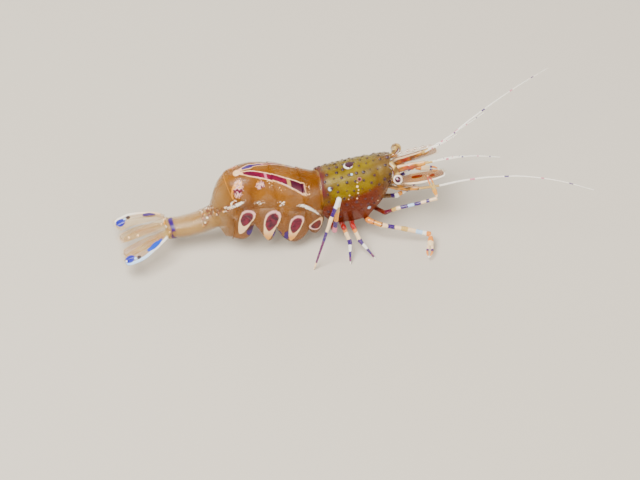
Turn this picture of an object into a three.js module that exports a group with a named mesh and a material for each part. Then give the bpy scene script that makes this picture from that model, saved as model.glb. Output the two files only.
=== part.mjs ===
// Cleaner shrimp (Periclimenes amethysteus), a still life-size model.
// Millimetres. +X points to the head, +Y to the animal's left, +Z up.
// While it is laid out, x = 0 is near the back edge of the carapace and z = 0 is the floor.
// The finished group is moved so that the origin is the bottom centre of the whole model.
import * as THREE from 'three';

// ---- driving dimensions ------------------------------------------------------------------

const GAP = 0.09;               // cut between two neighbouring shell rings
const PLATE = 0.5;              // thickness of the side plates at their lower edge
const ARCH_STEPS = 14;          // facets over the back, from one lower edge to the other
const ARCH_SHARE = 0.6;         // share of those facets that makes the rounded back
const RING_STEPS = 6;           // steps along one shell ring of the abdomen
const LIMB_SIDES = 6;           // facets around a leg
const LIMB_RADIUS = 0.26;
const FOOT_RADIUS = 0.28;
const EYE_RADIUS = 0.5;
const FIN_HALF_THICKNESS = 0.26;
const FAN_START = -14.75;
const FAN_DRIFT = 0.4;          // how far the last ring bends to the left on its way to the tail fan
const FAN_TURN = 0.1;           // how far the fan runs back to the right for each millimetre

// The back line and girth of the carapace, from its back edge to the eye sockets.
const CARAPACE = [
  { x: -1.35, back: 6.3, halfWidth: 1.95, shoulder: 2.2, bottom: 2.9, bottomHalf: 1.9, groove: 3.6 },
  { x: -0.6, back: 6.42, halfWidth: 2.08, shoulder: 2.3, bottom: 2.35, bottomHalf: 1.95, groove: 3.4 },
  { x: 0.8, back: 6.58, halfWidth: 2.15, shoulder: 2.4, bottom: 2.15, bottomHalf: 1.95, groove: 3.4 },
  { x: 2.2, back: 6.72, halfWidth: 2.08, shoulder: 2.3, bottom: 2.2, bottomHalf: 1.85, groove: 3.45 },
  { x: 3.4, back: 6.87, halfWidth: 1.85, shoulder: 2.0, bottom: 2.65, bottomHalf: 1.65, groove: 3.82 },
  { x: 4.15, back: 6.98, halfWidth: 1.55, shoulder: 1.6, bottom: 3.3, bottomHalf: 1.4, groove: 4.4 },
  { x: 4.65, back: 7.05, halfWidth: 1.15, shoulder: 1.2, bottom: 4.3, bottomHalf: 1.05, groove: 4.9 },
];

// The rings of the abdomen. Each has three stations: front, middle and rear. A station is a point
// of the back line and the tilt of the ring there, in degrees, positive where the tail hangs down.
const ABDOMEN = [
  {
    stations: [[-1.45, 6.2, 0], [-2.25, 6.4, 0], [-3.0, 6.75, 0]],
    halfWidths: [1.95, 2.1, 2.15], shoulder: 2.25, sternum: 3.3, lobe: 5.05, flare: 0.12,
  },
  {
    stations: [[-3.09, 6.8, 0], [-4.3, 7.45, 0], [-5.5, 7.98, 3]],
    halfWidths: [2.15, 2.25, 2.2], shoulder: 2.35, sternum: 3.7, lobe: 6.3, flare: 0.3,
  },
  {
    stations: [[-5.59, 8.01, 3], [-7.6, 8.42, 10], [-9.4, 7.95, 20]],
    halfWidths: [2.2, 2.15, 1.95], shoulder: 2.35, sternum: 3.95, lobe: 6.95, flare: 0.28,
  },
  {
    stations: [[-9.49, 7.9, 20], [-10.2, 6.97, 31], [-10.55, 5.97, 42]],
    halfWidths: [1.93, 1.8, 1.62], shoulder: 1.9, sternum: 3.05, lobe: 5.2, flare: 0.2,
  },
  {
    stations: [[-10.62, 5.87, 42], [-10.8, 5.03, 38], [-10.98, 4.28, 32]],
    halfWidths: [1.6, 1.45, 1.2], shoulder: 1.4, sternum: 2.3, lobe: 3.3, flare: 0.15,
  },
];

// The last ring is a plain tapering barrel without side lobes.
const LAST_RING = {
  stations: [[-11.06, 4.2, 32], [-12.75, 3.55, 13], [-14.65, 3.22, 5]],
  halfWidths: [1.12, 1.08, 1.0],
  depths: [1.95, 1.85, 1.65],
};

// ---- colours -----------------------------------------------------------------------------

const FINISHES = {
  shell: { color: 0xb89a62, roughness: 0.3, metalness: 0 },
  carapace: { color: 0x9a8b34, roughness: 0.3, metalness: 0 },
  belly: { color: 0xa5662c, roughness: 0.45, metalness: 0 },
  eye: { color: 0x59305c, roughness: 0.15, metalness: 0 },
  stalk: { color: 0xb9ad84, roughness: 0.35, metalness: 0 },
  feeler: { color: 0xf2ece0, roughness: 0.4, metalness: 0 },
  leg: { color: 0xd9cbd8, roughness: 0.4, metalness: 0 },
  claw: { color: 0xe4c9a4, roughness: 0.35, metalness: 0 },
  fan: { color: 0x8fa8d8, roughness: 0.3, metalness: 0 },
};

const group = new THREE.Group();

// ---- helpers -----------------------------------------------------------------------------

function vec(x, y, z) {
  return new THREE.Vector3(x, y, z);
}

function addMesh(name, geometry, finish) {
  const mesh = new THREE.Mesh(geometry, new THREE.MeshStandardMaterial(FINISHES[finish]));
  mesh.name = name;
  group.add(mesh);
}

function signedVolume(positions, faces) {
  let six = 0;
  for (let i = 0; i < faces.length; i += 3) {
    const a = vec(...positions.slice(3 * faces[i], 3 * faces[i] + 3));
    const b = vec(...positions.slice(3 * faces[i + 1], 3 * faces[i + 1] + 3));
    const c = vec(...positions.slice(3 * faces[i + 2], 3 * faces[i + 2] + 3));
    six += a.dot(b.cross(c));
  }
  return six;
}

// A closed solid through rings of points. Every ring has the same even number of points, and
// point i of a ring faces point (last - i), so the two ends are closed by strips.
function loft(rings) {
  const around = rings[0].length;
  const positions = rings.flat().flatMap((point) => point.toArray());
  const faces = [];
  for (let ring = 0; ring + 1 < rings.length; ring += 1) {
    for (let i = 0; i < around; i += 1) {
      const here = ring * around + i;
      const next = ring * around + ((i + 1) % around);
      faces.push(here, next, next + around, here, next + around, here + around);
    }
  }
  const last = (rings.length - 1) * around;
  for (let i = 0; i + 1 < around / 2; i += 1) {
    const far = around - 1 - i;
    faces.push(i, far, far - 1, i, far - 1, i + 1);
    faces.push(last + i, last + far - 1, last + far, last + i, last + i + 1, last + far - 1);
  }
  if (signedVolume(positions, faces) < 0) {
    faces.reverse();
  }
  const geometry = new THREE.BufferGeometry();
  geometry.setAttribute('position', new THREE.Float32BufferAttribute(positions, 3));
  geometry.setIndex(faces);
  geometry.computeVertexNormals();
  return geometry;
}

// A tapering solid along a path: stations are [x, y, z, half width, half height], and hint is a
// direction that the path never takes, in which the half height is measured.
function sweep(stations, hint, sides = LIMB_SIDES, foot = false) {
  const points = stations.map(([x, y, z]) => vec(x, y, z));
  const rings = stations.map(([, , , halfWidth, halfHeight], i) => {
    const before = points[Math.max(i - 1, 0)];
    const after = points[Math.min(i + 1, points.length - 1)];
    const along = after.clone().sub(before).normalize();
    const side = hint.clone().cross(along).normalize();
    const up = along.clone().cross(side);
    return Array.from({ length: sides }, (_, k) => {
      const angle = ((k + 0.5) / sides) * 2 * Math.PI;
      return points[i].clone()
        .addScaledVector(side, halfWidth * Math.cos(angle))
        .addScaledVector(up, halfHeight * Math.sin(angle));
    });
  });
  if (foot) {
    const end = rings.at(-1);
    const centre = points.at(-1);
    end.forEach((point) => point.sub(centre).setZ(0).setLength(FOOT_RADIUS).add(centre));
  }
  return loft(rings);
}

// A value at share 0..1 along three given values, on the parabola through them.
function alongThree([first, middle, last], share) {
  return first * (1 - share) * (1 - 2 * share) + 4 * middle * share * (1 - share)
    + last * share * (2 * share - 1);
}

// One ring of points of a shell: a rounded back, side plates down to the lower edge, and the
// underside between the plates. Depths are measured from the back, along the tilted ring.
function shellRing({ x, z, tilt, halfWidth, shoulder, sternum, edge, edgeHalf }) {
  const down = vec(Math.sin(tilt), 0, -Math.cos(tilt));
  const place = (y, depth) => vec(x, y, z).addScaledVector(down, depth);
  const outer = [];
  const inner = [];
  for (let i = 0; i <= ARCH_STEPS; i += 1) {
    const q = (2 * i) / ARCH_STEPS - 1;
    const side = Math.sign(q);
    const lower = Math.max(0, (Math.abs(q) - ARCH_SHARE) / (1 - ARCH_SHARE));
    const angle = Math.min(Math.abs(q) / ARCH_SHARE, 1) * (Math.PI / 2);
    const width = lower > 0 ? THREE.MathUtils.lerp(halfWidth, edgeHalf, lower) : halfWidth * Math.sin(angle);
    const depth = lower > 0 ? THREE.MathUtils.lerp(shoulder, edge, lower) : shoulder * (1 - Math.cos(angle));
    outer.push(place(side * width, depth));
    const innerTop = (halfWidth - PLATE) * Math.min(Math.abs(q) / ARCH_SHARE, 1);
    const innerWidth = THREE.MathUtils.lerp(innerTop, edgeHalf - PLATE, lower);
    inner.push(place(side * innerWidth, THREE.MathUtils.lerp(sternum, edge, lower)));
  }
  return outer.concat(inner.reverse());
}

// ---- carapace, rostrum and the underside of the thorax -------------------------------------

function makeCarapace() {
  const rings = CARAPACE.map(({ x, back, halfWidth, shoulder, bottom, bottomHalf, groove }) => shellRing({
    x, z: back, tilt: 0, halfWidth, shoulder, sternum: back - groove, edge: back - bottom, edgeHalf: bottomHalf,
  }));
  addMesh('carapace', loft(rings), 'carapace');
}

function makeRostrum() {
  const start = CARAPACE.at(-1);
  const stations = [
    [start.x + GAP, 0, start.back - 0.15, 0.26, 0.34],
    [start.x + 1.3, 0, start.back + 0.08, 0.26, 0.36],
    [start.x + 2.8, 0, start.back + 0.33, 0.25, 0.3],
    [start.x + 4.2, 0, start.back + 0.6, 0.14, 0.12],
  ];
  addMesh('rostrum', sweep(stations, vec(0, 0, 1)), 'carapace');
}

function makeThorax() {
  const stations = [
    [-1.1, 0, 2.95, 0.9, 0.4],
    [0.2, 0, 2.75, 1.15, 0.5],
    [2.2, 0, 2.75, 1.1, 0.5],
    [3.2, 0, 3.05, 1.0, 0.5],
    [4.1, 0, 3.75, 0.75, 0.42],
    [4.5, 0, 4.15, 0.5, 0.3],
  ];
  addMesh('thorax', sweep(stations, vec(0, 0, 1), 8), 'belly');
}

// ---- abdomen -----------------------------------------------------------------------------

function ringFrame(stations, share) {
  const [x, z, tilt] = [0, 1, 2].map((part) => alongThree(stations.map((station) => station[part]), share));
  return { x, z, tilt: THREE.MathUtils.degToRad(tilt) };
}

function makeAbdomenRing({ stations, halfWidths, shoulder, sternum, lobe, flare }, index) {
  const edgeAtEnds = sternum + 0.35;
  const rings = [];
  for (let step = 0; step <= RING_STEPS; step += 1) {
    const share = step / RING_STEPS;
    const roundness = Math.sin(Math.PI * share) ** 0.55;
    const halfWidth = alongThree(halfWidths, share);
    rings.push(shellRing({
      ...ringFrame(stations, share),
      halfWidth,
      shoulder,
      sternum,
      edge: THREE.MathUtils.lerp(edgeAtEnds, lobe, roundness),
      edgeHalf: halfWidth + flare * roundness,
    }));
  }
  addMesh(`abdomen_${index + 1}`, loft(rings), 'shell');
}

function makeLastRing() {
  const sides = 14;
  const rings = [];
  for (let step = 0; step <= RING_STEPS; step += 1) {
    const share = step / RING_STEPS;
    const { x, z, tilt } = ringFrame(LAST_RING.stations, share);
    const halfWidth = alongThree(LAST_RING.halfWidths, share);
    const halfDepth = alongThree(LAST_RING.depths, share) / 2;
    const down = vec(Math.sin(tilt), 0, -Math.cos(tilt));
    const middle = FAN_DRIFT * share ** 2;
    rings.push(Array.from({ length: sides }, (_, k) => {
      const angle = ((k + 0.5) / sides) * 2 * Math.PI;
      return vec(x, middle + halfWidth * Math.sin(angle), z)
        .addScaledVector(down, halfDepth * (1 - Math.cos(angle)));
    }));
  }
  addMesh('abdomen_6', loft(rings), 'shell');
}

// ---- tail fan ----------------------------------------------------------------------------

// Sets the stations of a fan blade off from the end of the last ring.
function turned(stations) {
  return stations.map(([x, y, z, ...sizes]) => [x, y + FAN_DRIFT - FAN_TURN * (FAN_START - x), z, ...sizes]);
}

function makeTailFan() {
  const thick = FIN_HALF_THICKNESS;
  const up = vec(0, 0, 1);
  addMesh('telson', sweep(turned([
    [FAN_START, 0, 3.0, 0.5, thick],
    [-15.5, 0, 2.85, 0.6, thick],
    [-17.0, 0, 2.5, 0.46, thick],
    [-18.4, 0, 2.15, 0.25, 0.2],
  ]), up, 8), 'shell');
  for (const [name, side] of [['left', 1], ['right', -1]]) {
    addMesh(`uropod_outer_${name}`, sweep(turned([
      [FAN_START - 0.1, side * 0.95, 2.75, 0.25, thick],
      [-15.5, side * 1.35, 2.65, 0.48, thick],
      [-16.4, side * 1.72, 2.45, 0.6, thick],
      [-17.4, side * 2.05, 2.2, 0.72, thick],
      [-18.3, side * 2.12, 1.98, 0.68, thick],
      [-18.85, side * 2.05, 1.85, 0.52, thick],
      [-19.1, side * 2.0, 1.78, 0.3, 0.2],
    ]), up, 8), 'fan');
    addMesh(`uropod_inner_${name}`, sweep(turned([
      [FAN_START - 0.1, side * 0.4, 2.35, 0.19, thick],
      [-15.6, side * 0.62, 2.15, 0.36, thick],
      [-16.9, side * 0.8, 1.82, 0.48, thick],
      [-18.0, side * 0.86, 1.55, 0.4, thick],
      [-18.6, side * 0.9, 1.4, 0.2, 0.2],
    ]), up, 8), 'fan');
  }
}

// ---- limbs -------------------------------------------------------------------------------

// Rings at the joints of a limb and close to both ends of each length, so that it bends at the
// joints only. A length is thinner in its middle than at its joints.
function jointedStations(joints, radius) {
  const points = joints.map((joint) => vec(...joint));
  const stations = [[...joints[0], radius, radius]];
  for (let i = 0; i + 1 < points.length; i += 1) {
    const middle = points[i].clone().lerp(points[i + 1], 0.5);
    stations.push([...middle.toArray(), radius * 0.97, radius * 0.97]);
    stations.push([...joints[i + 1], radius * 1.08, radius * 1.08]);
  }
  return stations;
}

const ACROSS = vec(1, 0.15, 0.1).normalize();
const UP = vec(0, 0, 1);

// Joints of each walking leg, from the hip to the foot on the floor.
const WALKING_LEGS = {
  walking_leg_3_right: [[1.15, -0.85, 1.72], [1.0, -2.3, 1.8], [0.9, -2.85, 2.35],
    [1.3, -3.75, 1.35], [2.4, -5.0, 0]],
  walking_leg_4_right: [[0.3, -0.85, 1.72], [0.15, -2.3, 1.8], [0.1, -2.8, 2.35],
    [0.45, -3.75, 1.35], [0.2, -5.1, 0]],
  walking_leg_5_right: [[-0.5, -0.85, 1.72], [-0.65, -2.6, 1.72], [-0.75, -3.15, 2.4], [-0.35, -3.05, 6.3],
    [-1.25, -3.8, 4.6], [-3.0, -5.0, 0]],
  walking_leg_3_left: [[1.15, 0.85, 1.72], [1.35, 2.4, 1.85], [2.0, 3.3, 3.4], [3.3, 4.5, 1.9], [4.1, 5.1, 0]],
  walking_leg_4_left: [[0.3, 0.85, 1.72], [0.2, 2.5, 1.85], [-0.2, 3.3, 3.4], [-0.6, 4.7, 1.9], [-0.8, 5.3, 0]],
  walking_leg_5_left: [[-0.5, 0.85, 1.72], [-0.85, 2.6, 1.85], [-1.9, 3.3, 3.4],
    [-4.3, 4.2, 1.9], [-5.6, 4.7, 0]],
};

// Joints of each claw leg up to its wrist, then the claw from wrist to finger tips.
const CLAW_LEGS = {
  1: {
    right: {
      arm: [[2.9, -0.8, 1.95], [3.9, -2.15, 2.5], [4.9, -2.6, 3.3], [6.6, -2.95, 3.85], [8.15, -3.2, 4.3]],
      claw: [[8.24, -2.9, 4.58], [7.98, -2.6, 5.25], [7.6, -2.0, 6.2]],
    },
    left: {
      arm: [[2.9, 0.8, 1.95], [3.9, 2.1, 2.3], [5.2, 2.5, 2.3], [6.5, 2.6, 2.45], [7.6, 2.6, 2.7]],
      claw: [[7.65, 2.35, 3.0], [7.6, 1.9, 3.45], [7.5, 1.35, 3.95]],
    },
    size: 0.27,
  },
  2: {
    right: {
      arm: [[2.0, -0.85, 1.72], [2.45, -2.2, 1.95], [3.44, -2.9, 1.85], [5.4, -3.5, 1.5], [7.4, -4.1, 1.05]],
      claw: [[7.42, -4.42, 0.95], [7.2, -5.15, 0.75], [6.8, -6.3, 0.45]],
    },
    left: {
      arm: [[2.0, 0.85, 1.72], [2.5, 2.3, 1.9], [3.6, 3.0, 1.9], [5.8, 3.4, 1.6], [7.6, 3.5, 1.35]],
      claw: [[8.0, 3.46, 1.3], [9.0, 3.3, 1.2], [10.1, 3.0, 1.05]],
    },
    size: 0.32,
  },
};

function makeWalkingLegs() {
  for (const [name, joints] of Object.entries(WALKING_LEGS)) {
    addMesh(name, sweep(jointedStations(joints, LIMB_RADIUS), ACROSS, LIMB_SIDES, true), 'leg');
  }
}

function makeClawLegs() {
  for (const [pair, { size, ...sides }] of Object.entries(CLAW_LEGS)) {
    for (const [side, { arm, claw }] of Object.entries(sides)) {
      addMesh(`claw_leg_${pair}_${side}`, sweep(jointedStations(arm, LIMB_RADIUS), UP), 'leg');
      const [wrist, palm, tips] = claw;
      const alongPalm = palm.map((value, i) => value + 0.35 * (tips[i] - value));
      addMesh(`claw_${pair}_${side}`, sweep([
        [...wrist, size * 0.8, size * 0.8],
        [...palm, size * 1.15, size],
        [...alongPalm, size * 1.1, size * 0.95],
        [...tips, 0.15, 0.15],
      ], vec(0.75, 0.1, 0.6).normalize(), 8), 'claw');
    }
  }
}

function makeMaxillipeds() {
  for (const [name, side] of [['left', 1], ['right', -1]]) {
    const joints = [
      [4.15, side * 0.55, 2.85], [5.2, side * 0.95, 3.1], [6.2, side * 0.9, 3.6], [7.0, side * 0.85, 4.2],
    ];
    addMesh(`maxilliped_${name}`, sweep(jointedStations(joints, 0.25), UP), 'leg');
  }
}

function makeSwimmerets() {
  ABDOMEN.forEach(({ stations, sternum, halfWidths }, index) => {
    const { x, z, tilt } = ringFrame(stations, 0.5);
    const rootDepth = sternum + 0.1 + 0.95 * Math.sin(tilt);
    const rootX = x + Math.sin(tilt) * rootDepth;
    const rootZ = z - Math.cos(tilt) * rootDepth;
    const apart = 0.42 * (halfWidths[1] - PLATE);
    const length = Math.min(rootZ - 0.75, 2.3);
    const lean = 0.5 - 1.2 * Math.sin(tilt);
    for (const [name, side] of [['left', 1], ['right', -1]]) {
      addMesh(`swimmeret_${index + 1}_${name}`, sweep([
        [rootX, side * apart, rootZ, 0.25, 0.3],
        [rootX - 0.2 * lean, side * (apart + 0.03), rootZ - 0.5 * length, 0.26, 0.4],
        [rootX - 0.7 * lean, side * (apart + 0.05), rootZ - 0.85 * length, 0.25, 0.32],
        [rootX - lean, side * (apart + 0.05), rootZ - length, 0.2, 0.15],
      ], vec(1, 0, 0)), 'belly');
    }
  });
}

// ---- eyes and feelers ----------------------------------------------------------------------

const EYES = {
  right: { stalk: [[5.02, -0.38, 6.45], [5.04, -0.9, 6.36], [5.05, -1.36, 6.25]], centre: [5.05, -1.88, 6.12] },
  left: { stalk: [[5.05, 0.38, 6.45], [5.3, 0.85, 6.3], [5.55, 1.3, 6.15]], centre: [5.78, 1.8, 6.0] },
};

function makeEyes() {
  for (const [side, { stalk, centre }] of Object.entries(EYES)) {
    const stations = stalk.map((point, i) => [...point, 0.25 + 0.03 * i, 0.25 + 0.03 * i]);
    addMesh(`eyestalk_${side}`, sweep(stations, UP), 'stalk');
    const ball = new THREE.SphereGeometry(EYE_RADIUS, 14, 10);
    ball.translate(...centre);
    addMesh(`eye_${side}`, ball, 'eye');
  }
}

function makeFeelers() {
  for (const [name, side] of [['left', 1], ['right', -1]]) {
    addMesh(`antennule_${name}`, sweep([
      [4.8, side * 0.4, 5.75, 0.28, 0.28],
      [6.4, side * 0.45, 5.95, 0.3, 0.26],
      [7.8, side * 0.6, 6.2, 0.27, 0.26],
      [9.6, side * 1.0, 6.75, 0.25, 0.25],
      [11.6, side * 1.7, 7.35, 0.25, 0.25],
      [13.8, side * 2.7, 7.7, 0.25, 0.25],
    ], UP), 'feeler');
    addMesh(`antennal_scale_${name}`, sweep([
      [4.85, side * 0.95, 5.05, 0.25, FIN_HALF_THICKNESS],
      [5.7, side * 1.2, 5.15, 0.46, FIN_HALF_THICKNESS],
      [6.9, side * 1.36, 5.25, 0.6, FIN_HALF_THICKNESS],
      [8.1, side * 1.42, 5.34, 0.54, FIN_HALF_THICKNESS],
      [8.9, side * 1.42, 5.42, 0.38, FIN_HALF_THICKNESS],
      [9.2, side * 1.4, 5.45, 0.22, 0.2],
    ], UP, 8), 'stalk');
    addMesh(`antenna_${name}`, sweep([
      [4.85, side * 0.78, 4.42, 0.27, 0.27],
      [5.7, side * 1.35, 4.36, 0.32, 0.3],
      [6.9, side * 1.8, 4.45, 0.27, 0.27],
      [8.6, side * 2.0, 4.6, 0.25, 0.25],
      [10.4, side * 2.5, 5.3, 0.25, 0.25],
      [12.6, side * 3.4, 6.2, 0.25, 0.25],
      [15.4, side * 4.6, 6.9, 0.25, 0.25],
      [18.2, side * 6.0, 7.1, 0.25, 0.25],
      [20.8, side * 7.5, 6.8, 0.25, 0.25],
    ], UP), 'feeler');
  }
}

// ---- the whole animal ------------------------------------------------------------------------

makeCarapace();
makeRostrum();
makeThorax();
ABDOMEN.forEach(makeAbdomenRing);
makeLastRing();
makeTailFan();
makeWalkingLegs();
makeClawLegs();
makeMaxillipeds();
makeSwimmerets();
makeEyes();
makeFeelers();

const bounds = new THREE.Box3().setFromObject(group);
const centre = bounds.getCenter(vec(0, 0, 0));
group.position.set(-centre.x, -centre.y, -bounds.min.z);

export default group;
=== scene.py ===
import logging
import math
from dataclasses import dataclass
from enum import Enum
from typing import Any, Callable, Sequence

import bmesh
import bpy
from mathutils import Matrix, Vector


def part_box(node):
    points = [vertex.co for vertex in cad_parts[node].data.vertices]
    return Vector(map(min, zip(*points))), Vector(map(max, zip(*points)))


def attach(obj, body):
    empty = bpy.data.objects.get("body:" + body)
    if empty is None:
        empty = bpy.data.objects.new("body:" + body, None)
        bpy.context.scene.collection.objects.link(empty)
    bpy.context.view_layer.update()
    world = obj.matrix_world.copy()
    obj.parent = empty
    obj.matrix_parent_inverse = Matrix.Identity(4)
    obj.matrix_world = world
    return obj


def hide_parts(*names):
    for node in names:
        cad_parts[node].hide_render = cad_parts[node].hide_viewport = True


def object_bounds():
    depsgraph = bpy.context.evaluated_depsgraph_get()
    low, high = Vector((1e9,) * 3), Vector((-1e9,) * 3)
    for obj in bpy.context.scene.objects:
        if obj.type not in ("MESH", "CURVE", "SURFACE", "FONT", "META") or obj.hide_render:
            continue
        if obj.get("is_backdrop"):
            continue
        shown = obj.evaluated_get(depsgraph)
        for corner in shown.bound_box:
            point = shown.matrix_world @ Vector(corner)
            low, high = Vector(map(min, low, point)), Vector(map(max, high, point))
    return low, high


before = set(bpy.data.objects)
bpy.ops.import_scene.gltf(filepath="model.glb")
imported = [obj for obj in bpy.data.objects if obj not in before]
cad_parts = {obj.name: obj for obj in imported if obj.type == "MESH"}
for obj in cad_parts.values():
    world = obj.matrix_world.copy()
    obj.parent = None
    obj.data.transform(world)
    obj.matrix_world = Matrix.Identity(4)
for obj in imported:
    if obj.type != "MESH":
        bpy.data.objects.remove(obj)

LOG = logging.getLogger("cleaner_shrimp")
CAD_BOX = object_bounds()
BODY = "root"
Piece = bpy.types.Object
Material = bpy.types.Material
Pair = tuple[float, float]
Triple = tuple[float, float, float]
Row = tuple[float, float, float, float]     # a row of a table, or a colour with its opacity
MILLIMETRE = 0.001

# All sizes below are millimetres in the layout's own axes: x = 0 near the back edge of the
# carapace, +X to the head, +Y to the animal's left, z = 0 at the floor. SHIFT takes that layout
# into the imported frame, and is read off the carapace's own box.
CARAPACE_BACK_EDGE = -1.35
SHIFT = Vector((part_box("carapace")[0][0] / MILLIMETRE - CARAPACE_BACK_EDGE, 0.0, 0.0))


def metres(point: Vector) -> Vector:
    """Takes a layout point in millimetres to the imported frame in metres."""
    return (point + SHIFT) * MILLIMETRE


def srgb(red: int, green: int, blue: int) -> Row:
    """Turns a colour as seen on a screen, 0 to 255, into the renderer's linear values."""
    def linear(level: int) -> float:
        share = level / 255
        return share / 12.92 if share <= 0.04045 else ((share + 0.055) / 1.055) ** 2.4
    return linear(red), linear(green), linear(blue), 1.0


class Tint(Enum):
    """The colours of the animal."""

    AMBER = srgb(176, 112, 22)
    DEEP_AMBER = srgb(126, 70, 10)
    OLIVE = srgb(118, 92, 3)
    LIME = srgb(156, 134, 6)
    RUST = srgb(112, 36, 2)
    BRICK = srgb(102, 24, 6)
    SMOKE = srgb(112, 80, 38)
    MAGENTA = srgb(122, 8, 50)
    PLUM = srgb(92, 6, 46)
    DARK_PLUM = srgb(54, 4, 34)
    MAUVE = srgb(96, 26, 92)
    WINE = srgb(116, 16, 14)
    VIOLET = srgb(54, 18, 112)
    COBALT = srgb(2, 10, 168)
    SKY = srgb(24, 72, 200)
    ICE = srgb(178, 214, 255)
    CREAM = srgb(255, 218, 172)
    WHITE = srgb(255, 250, 240)
    PALE_ROSE = srgb(246, 190, 190)
    ROSE = srgb(220, 124, 152)
    GOLD = srgb(232, 156, 40)
    ORANGE = srgb(232, 140, 40)
    CRIMSON = srgb(170, 20, 18)
    INK = srgb(34, 8, 30)
    SAND = srgb(206, 168, 90)
    CLEAR = srgb(206, 172, 96)
    FLOOR = srgb(206, 201, 192)


# ---- shader writing ----


def operator(operation: str, flipped: bool = False) -> Callable[..., "Field"]:
    """Makes a Python operator that adds one Math node, with the operands flipped or not."""
    def apply(field: "Field", *others: Any) -> "Field":
        """Adds the node."""
        return field.sketch.math(operation, *others, field) if flipped else field.math(operation, *others)
    return apply


class Field:
    """A shader value that takes part in arithmetic; every operation adds one Math node."""

    def __init__(self, sketch: "Sketch", socket: Any) -> None:
        """Wraps an output socket of a sketch's tree."""
        self.sketch = sketch
        self.socket = socket

    def math(self, operation: str, *others: Any) -> "Field":
        """Adds a Math node on this value and the others, which are Fields or numbers."""
        return self.sketch.math(operation, self, *others)

    __add__ = __radd__ = operator("ADD")
    __sub__ = operator("SUBTRACT")
    __rsub__ = operator("SUBTRACT", flipped=True)
    __mul__ = __rmul__ = operator("MULTIPLY")
    __truediv__ = operator("DIVIDE")
    __pow__ = operator("POWER")
    __abs__ = operator("ABSOLUTE")
    __or__ = operator("MAXIMUM")        # of two masks: either one
    __and__ = operator("MINIMUM")       # of two masks: both at once

    def ramp(self, low: float, high: float) -> "Field":
        """A smooth step from 0 at low to 1 at high; low may be the larger.

        Args:
            low: Where the result is 0.
            high: Where the result is 1.

        Returns:
            The step as a Field.
        """
        settings = {"interpolation_type": "SMOOTHSTEP"}
        inputs = {"Value": self, "From Min": min(low, high), "From Max": max(low, high)}
        step = self.sketch.field("ShaderNodeMapRange", settings, inputs, "Result")
        return 1 - step if low > high else step

    def between(self, low: float, high: float, soft: float) -> "Field":
        """A mask that is 1 from low to high, with edges as wide as soft."""
        return self.ramp(low - soft, low + soft) & self.ramp(high + soft, high - soft)


class Tree:
    """A node tree, and the one way to add a node to it."""

    def __init__(self, tree: bpy.types.NodeTree) -> None:
        """Wraps a tree."""
        self.tree = tree

    def node(self, kind: str, settings: dict[str, Any] | None = None,
             inputs: dict[Any, Any] | None = None) -> Any:
        """Adds any node.

        Args:
            kind: The node's type.
            settings: Its properties, and "stops" for a ramp's (position, colour) pairs.
            inputs: Values, colours, Fields or sockets, by the input's name or number.

        Returns:
            The node.
        """
        made = self.tree.nodes.new(kind)
        for key, value in (settings or {}).items():
            if key == "stops":
                self._fill_ramp(made.color_ramp, value)
            else:
                setattr(made, key, value)
        for key, value in (inputs or {}).items():
            self.feed(made.inputs[key], value)
        return made

    @staticmethod
    def _fill_ramp(ramp: Any, stops: Sequence[tuple[float, Tint]]) -> None:
        """Sets a colour ramp's stops."""
        while len(ramp.elements) < len(stops):
            ramp.elements.new(1.0)
        for element, (position, tint) in zip(ramp.elements, stops):
            element.position = position
            element.color = tint.value

    def feed(self, socket: Any, value: Any) -> None:
        """Links or sets one input socket."""
        if isinstance(value, Field):
            self.tree.links.new(value.socket, socket)
        elif isinstance(value, Tint):
            socket.default_value = value.value
        elif isinstance(value, bpy.types.NodeSocket):
            self.tree.links.new(value, socket)
        else:
            socket.default_value = value


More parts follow.
